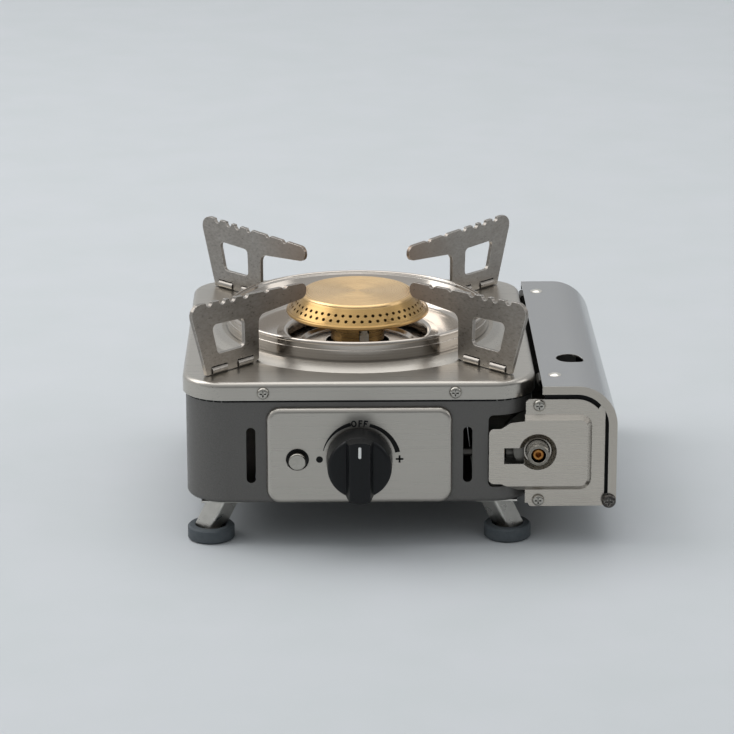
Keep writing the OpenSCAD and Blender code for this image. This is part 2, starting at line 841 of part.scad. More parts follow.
// Ridged sleeve of the pressure setting, open at the front
module regulator_sleeve() color(BRIGHT) {
    length = sleeve_front + regulator_y;
    wall = 2.2;
    ridge = 0.5;
    difference() {
        facing_front(can_x, regulator_y, can_z)
            rotate_extrude()
                polygon(concat([[sleeve_r - wall, 0], [sleeve_r - ridge, 0]],
                    [for (i = [0 : 3]) each [[sleeve_r - ridge, length - 9.5 + 1.8 * i],
                        [sleeve_r, length - 9.1 + 1.8 * i], [sleeve_r, length - 8.5 + 1.8 * i],
                        [sleeve_r - ridge, length - 8.1 + 1.8 * i]]],
                    [[sleeve_r, length - 1.8], [sleeve_r, length - 0.7], [sleeve_r - 0.7, length],
                        [sleeve_r - wall, length]]));
    }
}

module regulator_core() color(BRASS) {
    core_r = sleeve_r - 2.9;
    length = sleeve_front + regulator_y - 1.5;
    facing_front(can_x, regulator_y, can_z)
        difference() {
            union() {
                cylinder(r = core_r, h = length - 1);
                translate([0, 0, length - 1])
                    cylinder(r1 = core_r, r2 = core_r - 0.8, h = 1);
            }
            translate([0, 0, length - 5])
                cylinder(r = 1.7, h = 6);
        }
}

// Setting spring inside the regulator's body, behind the brass core
module regulator_spring() color(BRIGHT) {
    spring_r = sleeve_r - 3.4;
    facing_front(can_x, regulator_y + 5.7, can_z)
        translate([0, 0, 0.2])
            wire(coil(spring_r, 4.8, 3, 12), 0.45, 6, [0, 0, 1]);
}

module magnet_ring() color(BLACK) {
    facing_front(can_x, magnet_y + magnet_t, can_z)
        difference() {
            cylinder(r = magnet_r - 0.5, h = magnet_t);
            translate([0, 0, -1])
                cylinder(r = magnet_r - 8.5, h = magnet_t + 2);
        }
}

// ---- Cartridge bay -------------------------------------------------------

// Outline of an end plate in X and Z, with the cover's corner radius less the margin
module plate_outline(left, right, low, high, r) {
    square_r = 2;
    polygon(rounded([[left, low, square_r], [right, low, square_r], [right, high - r, 0],
        [right, high, 0]]));
    polygon(concat([[left, low + square_r], [right, low + square_r]],
        arc(right - r, high - r, r, 0, 90, 12), [[left + 1.5, high], [left, high - 1.5]]));
}

raise = 2.5;
raise_slope = 3;
raise_low = can_z - 24;
raise_high = can_z + 22.2;
raise_right = plate_right - 7.6;
dish_r = 11;
dish_depth = 2.4;
tongue_low = can_z - 19.6;
tongue_high = can_z + 14.1;
plate_screw_x = can_x + 0.6;
plate_screw_low = plate_bottom + 3.9;
plate_screw_high = plate_top - 3.6;

// Outline of the tongue that runs left through the housing's corner, with the raised area's height
module tongue_outline() {
    polygon(rounded([[tongue_left, tongue_low, 3], [tongue_left + 7, tongue_low, 2],
        [plate_left - 4, raise_low, 6], [plate_right, raise_low, 0], [plate_right, raise_high, 0],
        [plate_left - 0.5, raise_high, 0], [plate_left - 0.5, raise_high - 3.5, 1],
        [plate_left - 9, raise_high - 4.5, 5], [tongue_left + 7, tongue_high, 2],
        [tongue_left, tongue_high, 3]]));
}

module end_plate() color(STEEL) {
    raised_w = 120;
    difference() {
        union() {
            facing_front(0, -front_y + sheet, 0)
                linear_extrude(sheet)
                    difference() {
                        plate_screw_outline();
                        translate([raise_right - raised_w / 2, (raise_low + raise_high) / 2])
                            rounded_rect(raised_w - 1, raise_high - raise_low - 1, 6);
                    }
            intersection() {
                facing_front(raise_right - raised_w / 2, -front_y - raise, (raise_low + raise_high) / 2)
                    embossed_pan(raised_w, raise_high - raise_low, 7);
                facing_front(0, 0, 0)
                    linear_extrude(through)
                        tongue_outline();
            }
            facing_front(can_x, -front_y, can_z)
                rotate_extrude()
                    polygon(strip([[sleeve_r + 0.6, raise - dish_depth - sheet], [dish_r - 3, raise - dish_depth - sheet],
                        [dish_r - 0.4, raise - sheet], [dish_r + 1, raise - sheet]], sheet));
        }
        facing_front(can_x, -front_y - raise - 1, can_z)
            mirror([0, 0, 1])
                rotate_extrude()
                    polygon([[0, 0], [dish_r, 0], [dish_r, 1], [dish_r - 3, 1 + dish_depth],
                        [sleeve_r + 0.6, 1 + dish_depth], [sleeve_r + 0.6, 10], [0, 10]]);
        translate([can_x - 19.6, -through / 2, can_z - 7.3])
            cube([11.7, through, 9.8]);
        for (z = [plate_screw_low, plate_screw_high])
            facing_front(plate_screw_x, -front_y, z)
                cylinder(r = shank_r + 0.1, h = 10, center = true);
        hinge_hole();
    }
}

// The end plate's flat outline, with the ear that holds the cover's hinge
module plate_screw_outline() {
    plate_outline(plate_left, plate_right, plate_bottom, plate_top, cover_r - 7);
    hinge_ear();
}

module hinge_ear() {
    translate([hinge_x, hinge_z])
        circle(hinge_r + 2);
    translate([plate_right - 4, hinge_z - hinge_r - 1.5])
        square([hinge_x - plate_right + 4, 2 * hinge_r + 3]);
}

module hinge_hole() {
    facing_front(hinge_x, 0, hinge_z)
        cylinder(r = hinge_r + hinge_gap, h = through, center = true);
}

// Pressed area with sloping sides, face at z = 0
module embossed_pan(w, d, corner) {
    rim_sweep(w, d, corner)
        polygon([[0, -raise], [-raise_slope, 0], [-raise_slope - 1, 0], [-raise_slope - 1, -sheet],
            [-raise_slope - 0.4 * sheet, -sheet], [-sheet - 0.2, -raise - sheet + 0.4], [-sheet - 0.2, -raise - sheet],
            [0, -raise - sheet]]);
    translate([0, 0, -sheet])
        linear_extrude(sheet)
            rounded_rect(w - 2 * raise_slope - 1, d - 2 * raise_slope - 1, corner - raise_slope - 0.5);
}

// Frame plate behind the end plate: it carries the regulator and takes the screws
module bulkhead() color(STEEL) {
    left = can_x - 13;
    difference() {
        facing_front(0, regulator_y, 0)
            linear_extrude(bulkhead_t)
                difference() {
                    union() {
                        plate_outline(plate_left + 0.8, tray_right, tray_z + sheet, plate_top - 1, cover_r - 8);
                        translate([left, can_z - 16])
                            square([14, 28]);
                    }
                    translate([left - 1, can_z - 8])
                        square([12, 11]);
                }
        facing_front(can_x, 0, can_z)
            cylinder(r = sleeve_r + 0.2, h = through, center = true);
        for (z = [plate_screw_low, plate_screw_high])
            facing_front(plate_screw_x, -front_y, z)
                cylinder(r = shank_r + 0.05, h = 10, center = true);
    }
}

module rear_end_plate() color(STEEL) {
    difference() {
        union() {
            facing_front(0, front_y, 0)
                linear_extrude(sheet)
                    difference() {
                        union() {
                            plate_outline(bay_left + 6.5, plate_right, plate_bottom, plate_top, cover_r - 7);
                            hinge_ear();
                        }
                        translate([can_x, can_z])
                            circle(20);
                    }
            facing_front(can_x, front_y, can_z)
                rotate_extrude()
                    polygon(strip([[0, 2], [17.5, 2], [20, 0], [22, 0]], sheet));
        }
        for (z = [plate_screw_low, plate_screw_high])
            facing_front(plate_screw_x, front_y, z)
                cylinder(r = shank_r + 0.1, h = 10, center = true);
        hinge_hole();
    }
}

module plate_screws() color(BRIGHT) {
    for (z = [plate_screw_low, plate_screw_high]) {
        facing_front(plate_screw_x, -front_y, z)
            screw(head_r, head_h, shank_r, 5);
        translate([plate_screw_x, front_y, z])
            rotate([-90, 0, 0])
                screw(head_r, head_h, shank_r, 5);
    }
}

// Folded tray: partition to the burner on the left, floor, and a low lip on the right
module bay_tray() color(BRIGHT) {
    back = front_y - sheet;
    difference() {
        union() {
            facing_front(0, back, 0)
                linear_extrude(back + corner_y - 1.5)
                    polygon(strip([[bay_left, under_top - 0.3], [bay_left, tray_z], [tray_right, tray_z],
                        [tray_right, tray_z + 4]], sheet));
            translate([bay_left, -back, body_z + edge_r])
                cube([sheet, front_y, under_top - 0.3 - body_z - edge_r]);
            translate([body_w / 2 + 1, regulator_y, tray_z])
                cube([tray_right - body_w / 2 - 1, front_y / 2, sheet]);
        }
        translate([bay_left, pipe_y, knob_z])
            rotate([0, 90, 0])
                cylinder(r = pipe_r + 0.4, h = 10, center = true);
        translate([-through + bay_left + 3, -back - 1, 0])
            cube([through, back + 1 - corner_y + 1.5, body_z + edge_r]);
    }
}

// Pairs of ribs that keep the cartridge from rolling on the tray
module cartridge_saddles() color(BRIGHT) {
    low = tray_z + sheet;
    for (y = [can_front + can_len / 7, can_front + can_len * 5 / 6], s = [-1, 1])
        facing_front(can_x, y, 0)
            linear_extrude(3)
                difference() {
                    translate([s * 14 - 4.5, low])
                        square([9, 5]);
                    translate([0, can_z])
                        circle(can_r + 0.3);
                }
}

// Cover profile in X and Z between two offsets from the outer skin
module cover_profile(from, to) {
    right = cover_right - cover_r;
    high = cover_z - cover_r;
    difference() {
        intersection() {
            union() {
                translate([cover_x, high])
                    square([right - cover_x, cover_r - from]);
                translate([right, high])
                    circle(cover_r - from);
                translate([right, hinge_z + cover_lift])
                    square([cover_r - from, high - hinge_z - cover_lift]);
            }
            translate([cover_x, hinge_z + cover_lift])
                square([cover_w, cover_z]);
        }
        translate([right, high])
            circle(cover_r - to);
        translate([0, 0])
            square([right, cover_z - to]);
        translate([right - 1, 0])
            square([cover_r - to + 1, high]);
    }
}

module bay_cover() color(STEEL) {
    difference() {
        union() {
            facing_front(0, cover_len / 2, 0)
                linear_extrude(cover_len)
                    cover_profile(0, sheet);
            for (y = [-cover_len / 2 + sheet, cover_len / 2])
                facing_front(0, y, 0)
                    linear_extrude(sheet) {
                        cover_profile(0, cover_rim);
                        translate([hinge_x, hinge_z])
                            circle(hinge_r + 2.2);
                        translate([hinge_x, hinge_z])
                            square([hinge_in, cover_lift + 1]);
                    }
        }
        hinge_hole();
        translate([finger_x, finger_y, cover_z - cover_r])
            cylinder(r = finger_r, h = through);
        for (y = [-1, 1])
            translate([rivet_x, y * rivet_y, cover_z - 5])
                cylinder(r = shank_r + 0.05, h = 10);
    }
}

finger_x = cover_x + 19.5;
finger_y = -56;
rivet_x = cover_x + 8.5;
rivet_y = 88.5;

module cover_rivets() color(BRIGHT) {
    dome_h = 1.2;
    dome_r = (rivet_r * rivet_r + dome_h * dome_h) / (2 * dome_h);
    for (y = [-1, 1])
        translate([rivet_x, y * rivet_y, cover_z]) {
            intersection() {
                translate([0, 0, dome_h - dome_r])
                    sphere(dome_r);
                cylinder(r = rivet_r, h = 2 * dome_h);
            }
            translate([0, 0, -sheet - 2])
                cylinder(r = shank_r, h = sheet + 2 + tiny);
            translate([0, 0, -sheet - 2])
                cylinder(r = shank_r + 0.8, h = 0.9);
        }
}

// Spring-steel catch under each rivet, which bears on the top plate's edge
module cover_catches() color(BRIGHT) {
    catch_w = 14;
    catch_t = 0.8;
    z = cover_z - sheet;
    for (y = [-1, 1])
        difference() {
            translate([0, y * rivet_y + catch_w / 2, 0])
                rotate([90, 0, 0])
                    linear_extrude(catch_w)
                        polygon(strip([[rivet_x + 6, z], [cover_x - 1, z], [cover_x - 2.4, z - 1.4],
                            [cover_x - 1.2, z - 3.6]], catch_t));
            translate([rivet_x, y * rivet_y, z - 5])
                cylinder(r = shank_r + 0.05, h = 10);
        }
}

module hinge_screws() color(BRIGHT) {
    for (turn = [0, 180])
        translate([hinge_x, 0, 0])
            rotate(turn)
                facing_front(0, -cover_len / 2 - 0.2, hinge_z) {
                    screw(4.2, 2.4, hinge_r, 7);
                }
}

module hinge_bushes() color(BLACK) {
    for (turn = [0, 180])
        translate([hinge_x, 0, 0])
            rotate(turn)
                facing_front(0, -front_y, hinge_z)
                    difference() {
                        cylinder(r = hinge_r + 1.8, h = end_gap - 0.2);
                        translate([0, 0, -1])
                            cylinder(r = hinge_r + hinge_gap, h = 10);
                    }
}

// ---- Legs and feet -------------------------------------------------------

ring_floor = 3;
pad_r = ring_r - 3.9;

// Angle-section leg that leans out from under the housing into its foot ring
module leg(sx, sy, high) color(BRIGHT) {
    lean = 26;
    ridge_x = foot_x + 1.9;
    ridge_y = foot_y + 4.2;
    length = (body_z - ring_floor) / cos(lean);
    mirror([sx < 0 ? 1 : 0, 0, 0])
        mirror([0, sy < 0 ? 1 : 0, 0]) {
            translate([foot_x, foot_y, ring_floor])
                cylinder(r = pad_r, h = leg_t);
            translate([foot_x - 19, foot_y - 4, high - leg_t])
                cube([24, 14, leg_t]);
            intersection() {
                union() {
                    translate([0, 0, ring_h])
                        cube([through, through, high - ring_h - leg_t / 2]);
                    translate([foot_x, foot_y, ring_floor])
                        cylinder(r = pad_r - 0.8, h = ring_h);
                }
                translate([ridge_x, ridge_y, ring_floor + leg_t / 2])
                    rotate([0, -lean, 0])
                        translate([0, 0, -4])
                            linear_extrude(length + 8)
                                polygon(strip(concat([[-8.2, -6.6]], arc(0, -1.6, 1.6, 130, 62, 3), [[8.8, -5]]), -leg_t));
            }
        }
}

module foot(sx, sy) color(RUBBER) {
    translate([sx * foot_x, sy * foot_y, 0])
        rotate_extrude()
            polygon([[0, 0], [ring_r - 1, 0], [ring_r, 1], [ring_r, ring_h - 1], [ring_r - 1, ring_h],
                [pad_r - 0.5, ring_h], [pad_r - 0.5, ring_floor + leg_t + 0.3], [pad_r + 0.3, ring_floor + leg_t + 0.3],
                [pad_r + 0.3, ring_floor], [0, ring_floor]]);
}

// ---- Pot supports --------------------------------------------------------

loop_r = rod_r + rod_gap + loop_wall;
loop_starts = [4, support_foot - 5 - loop_len];
notches = [[2.5, 2.6], [13, 2.7], [21, 2.6], [31.5, 2.1], [48.5, 1.3], [63.5, 1.4]];

// Outline along the support's foot (x) and up from its hinge line (y); a notch is its place and its depth
module support_outline() {
    foot = 0.5 - loop_r;
    top = support_h - loop_r;
    tip_top = top - 4.5;
    tip_low = tip_top - 9;
    crook = tip_low - 3;
    low = 12 - loop_r;
    fall = (top - tip_top) / (support_reach + support_lean);
    difference() {
        polygon(rounded([[0, foot, 0], [-support_lean, top, 6.5], [support_reach, tip_top, 4.4],
            [support_reach, tip_low, 4.4], [support_foot, crook, 5], [support_foot, foot + 1.5, 0],
            [support_foot - 4, foot, 0]]));
        polygon(rounded([[8.8, low, 3], [4.2, crook + 1.9, 3], [support_foot - 11.8, crook + 0.9, 3],
            [support_foot - 11.2, low, 3]]));
        for (n = notches)
            translate([n[0], top - fall * (n[0] + support_lean) - n[1] + 2.6])
                circle(2.6);
    }
}

module pot_support(sx, sy) color(HEATED) {
    at_corner(sx, sy)
        translate([0, 0, loop_r]) {
            difference() {
                translate([0, support_t / 2, 0])
                    rotate([90, 0, 0])
                        linear_extrude(support_t)
                            support_outline();
                for (s = loop_starts)
                    translate([s - 0.4, -5, -loop_r])
                        cube([loop_len + 0.8, 10, 2 * loop_r + 0.5]);
            }
            rotate([0, 90, 0])
                cylinder(r = rod_r, h = support_foot);
        }
}

// Two loops rolled over the support's hinge rod, standing on the top plate
module support_hinge(sx, sy) color(BRIGHT) {
    at_corner(sx, sy)
        for (s = loop_starts)
            translate([s, 0, 0])
                difference() {
                    union() {
                        translate([0, 0, loop_r])
                            rotate([0, 90, 0])
                                cylinder(r = loop_r, h = loop_len);
                        translate([0, -loop_r / 2, 0])
                            cube([loop_len, loop_r, loop_r]);
                    }
                    translate([-1, 0, loop_r])
                        rotate([0, 90, 0])
                            cylinder(r = rod_r + rod_gap, h = loop_len + 2);
                }
}

// ---- Assembly ------------------------------------------------------------

body_shell();
bottom_plate();
top_plate();
skirt_screws();
drip_bowl();
burner_cap();
burner_base();
mixing_tube();
injector();
burner_bracket();
gas_valve();
valve_screws();
valve_stem();
knob();
gas_pipe();
pipe_nuts();
control_panel();
igniter_button();
igniter_spring();
piezo_igniter();
igniter_lead();
electrode();
electrode_insulator();
regulator_body();
regulator_sleeve();
regulator_spring();
regulator_core();
magnet_ring();
end_plate();
bulkhead();
rear_end_plate();
plate_screws();
bay_tray();
cartridge_saddles();
bay_cover();
cover_rivets();
cover_catches();
hinge_screws();
hinge_bushes();
leg(-1, -1, body_z);  // leg_fl
leg(1, -1, body_z);  // leg_fr
leg(-1, 1, body_z);  // leg_bl
leg(1, 1, tray_z);  // leg_br
foot(-1, -1);  // foot_fl
foot(1, -1);  // foot_fr
foot(-1, 1);  // foot_bl
foot(1, 1);  // foot_br
pot_support(-1, -1);  // pot_support_fl
pot_support(1, -1);  // pot_support_fr
pot_support(-1, 1);  // pot_support_bl
pot_support(1, 1);  // pot_support_br
support_hinge(-1, -1);  // support_hinge_fl
support_hinge(1, -1);  // support_hinge_fr
support_hinge(-1, 1);  // support_hinge_bl
support_hinge(1, 1);  // support_hinge_br
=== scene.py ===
"""Looks for the butane cassette stove: its finishes, small pieces, floor, lights and camera."""

import json
import math

import bmesh
import bpy
from mathutils import Matrix, Vector


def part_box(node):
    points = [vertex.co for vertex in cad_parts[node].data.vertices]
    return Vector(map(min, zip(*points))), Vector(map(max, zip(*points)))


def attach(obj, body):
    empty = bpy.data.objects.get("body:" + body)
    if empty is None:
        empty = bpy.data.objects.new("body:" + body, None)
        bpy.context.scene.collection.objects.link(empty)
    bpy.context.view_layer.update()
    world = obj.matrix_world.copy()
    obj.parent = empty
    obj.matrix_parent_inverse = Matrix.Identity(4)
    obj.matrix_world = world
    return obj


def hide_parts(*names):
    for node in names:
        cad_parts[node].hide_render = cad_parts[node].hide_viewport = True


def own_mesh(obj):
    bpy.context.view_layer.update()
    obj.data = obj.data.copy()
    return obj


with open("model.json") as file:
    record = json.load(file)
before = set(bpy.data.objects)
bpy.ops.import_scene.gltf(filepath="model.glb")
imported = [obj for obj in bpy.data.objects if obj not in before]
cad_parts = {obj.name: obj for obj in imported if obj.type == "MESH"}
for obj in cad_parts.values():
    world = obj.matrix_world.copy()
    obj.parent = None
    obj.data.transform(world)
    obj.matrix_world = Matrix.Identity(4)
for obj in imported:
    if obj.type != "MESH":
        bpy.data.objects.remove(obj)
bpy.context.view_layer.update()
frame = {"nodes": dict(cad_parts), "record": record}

MM = 0.001


# ---- Camera --------------------------------------------------------------

CAMERA_PLACE_MM = (-14.576, -1891.02, 665.15)
LOOKS_DOWN_DEG, TURNED_RIGHT_DEG, ROLL_RAD = 17.3288, 0.6145, -0.0019765
FRAME_PIXELS, FOCAL_PIXELS = 734, 3236.76
SENSOR_MM = 36.0


def place_camera():
    """A long lens not quite two metres away, looking down on the stove from the front."""
    position = Vector(CAMERA_PLACE_MM) * MM
    down, turn = math.radians(LOOKS_DOWN_DEG), math.radians(TURNED_RIGHT_DEG)
    forward = Vector((math.sin(turn) * math.cos(down), math.cos(turn) * math.cos(down), -math.sin(down)))
    right = Vector((math.cos(turn), -math.sin(turn), 0.0))
    up = right.cross(forward)
    cos_roll, sin_roll = math.cos(ROLL_RAD), math.sin(ROLL_RAD)
    right, up = right * cos_roll + up * sin_roll, up * cos_roll - right * sin_roll
    lens = bpy.data.cameras.new("long_lens")
    lens.sensor_width = SENSOR_MM
    lens.lens = FOCAL_PIXELS / FRAME_PIXELS * SENSOR_MM
    lens.clip_start, lens.clip_end = 0.05, 50.0
    camera = bpy.data.objects.new("camera", lens)
    camera.matrix_world = Matrix((
        (right.x, up.x, -forward.x, position.x),
        (right.y, up.y, -forward.y, position.y),
        (right.z, up.z, -forward.z, position.z),
        (0.0, 0.0, 0.0, 1.0)))
    bpy.context.scene.collection.objects.link(camera)
    bpy.context.scene.camera = camera


place_camera()


# ---- Node helpers --------------------------------------------------------

def linear(code):
    """An sRGB hex colour as linear red, green, blue and alpha."""
    def one(byte):
        c = byte / 255
        return c / 12.92 if c <= 0.04045 else ((c + 0.055) / 1.055) ** 2.4
    return (*(one(int(code[i:i + 2], 16)) for i in (1, 3, 5)), 1.0)


def add(tree, kind, sockets=None, **settings):
    """Adds one node, with its settings, and fills or links its sockets by name or number."""
    made = tree.nodes.new(kind)
    for name, value in settings.items():
        setattr(made, name, value)
    for name, value in (sockets or {}).items():
        if isinstance(value, bpy.types.NodeSocket):
            tree.links.new(value, made.inputs[name])
        else:
            made.inputs[name].default_value = value
    return made


def start(name, **shader):
    """A material with a Principled shader, whose constant values go on the shader's own sockets."""
    material = bpy.data.materials.new(name)
    material.use_nodes = True
    tree = material.node_tree
    tree.nodes.clear()
    surface = add(tree, "ShaderNodeBsdfPrincipled", {k.replace("_", " "): v for k, v in shader.items()})
    out = add(tree, "ShaderNodeOutputMaterial")
    tree.links.new(surface.outputs[0], out.inputs["Surface"])
    return material, tree, surface


def grain(tree, size_mm, seed=0.0, detail=2.0):
    """Noise whose spots are size_mm long along X, Y and Z, in the stove's own frame."""
    place = add(tree, "ShaderNodeTexCoord").outputs["Object"]
    spread = add(tree, "ShaderNodeMapping", {
        "Vector": place, "Location": (seed, seed * 1.7, seed * 0.6),
        "Scale": tuple(1 / (s * MM) for s in size_mm)})
    noise = add(tree, "ShaderNodeTexNoise", {
        "Vector": spread.outputs[0], "Scale": 1.0, "Detail": detail, "Roughness": 0.55})
    return noise.outputs["Fac"]


def span(tree, value, low, high, start_at=0.3, end_at=0.7):
    """A pattern's value from start_at to end_at, brought to the range low to high."""
    return add(tree, "ShaderNodeMapRange", {
        "Value": value, "From Min": start_at, "From Max": end_at, "To Min": low, "To Max": high}).outputs[0]


def blend_colours(tree, factor, first, second):
    """Mixes two colours, each a hex value or a socket."""
    colours = [linear(c) if isinstance(c, str) else c for c in (first, second)]
    return add(tree, "ShaderNodeMix", {0: factor, 6: colours[0], 7: colours[1]}, data_type="RGBA").outputs[2]


def relief(tree, surface, height, depth_mm, edge_mm=0.25):
    """Bump of a real depth, on edges that a deburring wheel has rounded to edge_mm."""
    eased = add(tree, "ShaderNodeBevel", {"Radius": edge_mm * MM}, samples=4)
    bump = add(tree, "ShaderNodeBump", {
        "Height": height, "Distance": depth_mm * MM, "Strength": 1.0, "Normal": eased.outputs[0]})
    tree.links.new(bump.outputs[0], surface.inputs["Normal"])


def edge_wear_and_highlight(tree, width_mm):
    """1 on a strip width_mm wide along the sharp edges, and 0 elsewhere. The lighter colour laid on this strip
    is partly wear, where handling and the press have rubbed the edges, and partly a painted highlight, where
    the edges catch the light."""
    eased = add(tree, "ShaderNodeBevel", {"Radius": width_mm * MM}, samples=6)
    flat = add(tree, "ShaderNodeNewGeometry").outputs["Normal"]
    agree = add(tree, "ShaderNodeVectorMath", {0: eased.outputs[0], 1: flat}, operation="DOT_PRODUCT")
    return span(tree, agree.outputs["Value"], 1.0, 0.0, 0.82, 0.995)


def painted_shade_in_corners(tree, reach_mm, most=1.0):
    """0 out in the open, up to most in recesses and along joints narrower than reach_mm. It is the mask of
    painted shade: the colour darkens there as shade would darken it."""
    hidden = add(tree, "ShaderNodeAmbientOcclusion", {"Distance": reach_mm * MM}, samples=8)
    return span(tree, hidden.outputs["AO"], most, 0.0, 0.3, 0.85)


def facing_inside(tree, middle_mm):
    """1 on faces that look in towards the middle of a hollow, 0 on the outside of the sheets round it."""
    here = add(tree, "ShaderNodeTexCoord").outputs["Object"]
    middle = tuple(Vector(middle_mm) * MM)
    outward = add(tree, "ShaderNodeVectorMath", {0: here, 1: middle}, operation="SUBTRACT")
    normal = add(tree, "ShaderNodeNewGeometry").outputs["True Normal"]
    agree = add(tree, "ShaderNodeVectorMath", {0: outward.outputs[0], 1: normal}, operation="DOT_PRODUCT")
    return span(tree, agree.outputs["Value"], 1.0, 0.0, -0.001, 0.001)


def facing(tree, axis):
    """1 on walls that face along the X or Y axis, either way, 0 on the rest."""
    normal = add(tree, "ShaderNodeSeparateXYZ", {0: add(tree, "ShaderNodeNewGeometry").outputs["True Normal"]})
    part_along = add(tree, "ShaderNodeMath", {0: normal.outputs[axis]}, operation="ABSOLUTE")
    return span(tree, part_along.outputs[0], 0.0, 1.0, 0.6, 0.8)


def place_round_axis(tree):
    """Distance from the burner's upright axis, and height, both in metres."""
    place = add(tree, "ShaderNodeSeparateXYZ", {0: add(tree, "ShaderNodeTexCoord").outputs["Object"]})
    flat = add(tree, "ShaderNodeCombineXYZ", {"X": place.outputs["X"], "Y": place.outputs["Y"]})
    radius = add(tree, "ShaderNodeVectorMath", {0: flat.outputs[0]}, operation="LENGTH")
    return radius.outputs["Value"], place.outputs["Z"]


def on_rise(tree):
    """1 on the slope that the press drew up round the bowl, 0 on the flat sheet and on the skirt."""
    normal = add(tree, "ShaderNodeSeparateXYZ", {0: add(tree, "ShaderNodeNewGeometry").outputs["True Normal"]})
    sloping = span(tree, normal.outputs["Z"], 1.0, 0.0, 0.86, 0.97)
    near = span(tree, place_round_axis(tree)[0], 1.0, 0.0, 0.086, 0.088)
    return add(tree, "ShaderNodeMath", {0: sloping, 1: near}, operation="MULTIPLY").outputs[0]


def brushed_along(tree, side, seed):
    """Streaks 70 mm long that run along X, or along Y on walls that face sideways. Belt scratches are about
    0.1 mm wide, which is too fine to show here, so they are drawn 0.4 mm wide."""
    length_mm, width_mm = 70.0, 0.4
    across = grain(tree, (length_mm, width_mm, width_mm), seed, detail=3.0)
    beside = grain(tree, (width_mm, length_mm, width_mm), seed + 3.1, detail=3.0)
    return add(tree, "ShaderNodeMix", {0: side, 2: across, 3: beside}, data_type="FLOAT").outputs[0]


def stretch_across(tree, surface, side, amount):
    """Stretches highlights across the brushing, which runs along X, or along Y on walls that face sideways."""
    surface.inputs["Anisotropic"].default_value = amount
    surface.inputs["Anisotropic Rotation"].default_value = 0.25
    run = add(tree, "ShaderNodeMix", {0: side, 4: (1.0, 0.0, 0.0), 5: (0.0, 1.0, 0.0)}, data_type="VECTOR")
    tree.links.new(run.outputs[1], surface.inputs["Tangent"])


def turned_streaks(tree, width_mm, seed=0.0):
    """Rings round the burner's axis, left by a lathe tool or a spinning roller. The tool's marks are about
    0.15 mm apart, which is too fine to show here, so they are drawn width_mm apart."""
    radius, height = place_round_axis(tree)
    ring = add(tree, "ShaderNodeCombineXYZ", {"X": radius, "Y": height, "Z": seed})
    size = 1 / (width_mm * MM)
    spread = add(tree, "ShaderNodeMapping", {"Vector": ring.outputs[0], "Scale": (size, size * 0.6, 1.0)})
    noise = add(tree, "ShaderNodeTexNoise", {"Vector": spread.outputs[0], "Scale": 1.0, "Detail": 3.0})
    return noise.outputs["Fac"]


def stretch_round_axis(tree, surface, amount):
    """Stretches highlights across turning marks that run round the burner's axis."""
    surface.inputs["Anisotropic"].default_value = amount
    surface.inputs["Anisotropic Rotation"].default_value = 0.25
    ring = add(tree, "ShaderNodeTangent", direction_type="RADIAL", axis="Z")
    tree.links.new(ring.outputs[0], surface.inputs["Tangent"])


# ---- Finishes ------------------------------------------------------------

# The middle of the cartridge bay and of the housing: faces that look towards them are inside
BAY_MIDDLE_MM = (110, 0, 60)
HOUSING_MIDDLE_MM = (0, 0, 60)


def stainless_brushed(name, light, dark, roughness, seed=0.0, dull_and_shaded_inside=False, end_wall_reflection=None, painted_rise_shade=None,
                      scratch_mm=0.0005):
    """Stainless sheet, belt-brushed: fine parallel streaks that draw the light out into a soft satin sheen.
    The sheets round the cartridge bay keep the mill's dull skin on their inside, which is also painted darker
    there, as painted shade. The end walls can take a warmer tint, a painted reflection, and the slope that the
    press drew up round the bowl a darker colour, painted shade."""
    material, tree, surface = start(name, Metallic=1.0)
    side = facing(tree, "X")
    streaks = brushed_along(tree, side, seed)
    clouds = grain(tree, (45, 45, 45), seed + 5, detail=1.0)
    tone = blend_colours(tree, span(tree, streaks, 0.0, 1.0), dark, light)
    specks = grain(tree, (0.9, 0.7, 0.7), seed + 7, detail=1.0)
    speckled = blend_colours(tree, span(tree, specks, 0.0, 0.45), tone, dark)
    hazed = blend_colours(tree, span(tree, clouds, 0.0, 0.3), speckled, dark)
    # painted reflection: the walls that face along Y are tinted a warmer grey
    if end_wall_reflection:
        hazed = blend_colours(tree, facing(tree, "Y"), hazed, end_wall_reflection)
    # painted shade: the slope drawn up round the bowl is darkened to #736d66
    if painted_rise_shade:
        hazed = blend_colours(tree, on_rise(tree), hazed, painted_rise_shade)
    # lighter edges, #e6e2da: partly wear, partly a painted highlight
    worn_and_highlit = blend_colours(tree, edge_wear_and_highlight(tree, 0.35), hazed, "#e6e2da")
    # painted shade: the colour darkens to #2c2a28 in recesses and along joints
    shaded = blend_colours(tree, painted_shade_in_corners(tree, 1.6, 0.75), worn_and_highlit, "#2c2a28")
    rough = span(tree, streaks, roughness - 0.01, roughness + 0.02)
    # inside the bay the colour darkens to #73716d and roughness rises to 0.5: partly the mill's dull skin,
    # partly painted shade, as the bay's inside lies in shade
    if dull_and_shaded_inside:
        inside = facing_inside(tree, BAY_MIDDLE_MM)
        shaded = blend_colours(tree, inside, shaded, "#73716d")
        rough = add(tree, "ShaderNodeMix", {0: inside, 2: rough, 3: 0.5}, data_type="FLOAT").outputs[0]
    tree.links.new(shaded, surface.inputs["Base Color"])
    tree.links.new(rough, surface.inputs["Roughness"])
    stretch_across(tree, surface, side, 0.4)
    relief(tree, surface, streaks, scratch_mm)
    return material


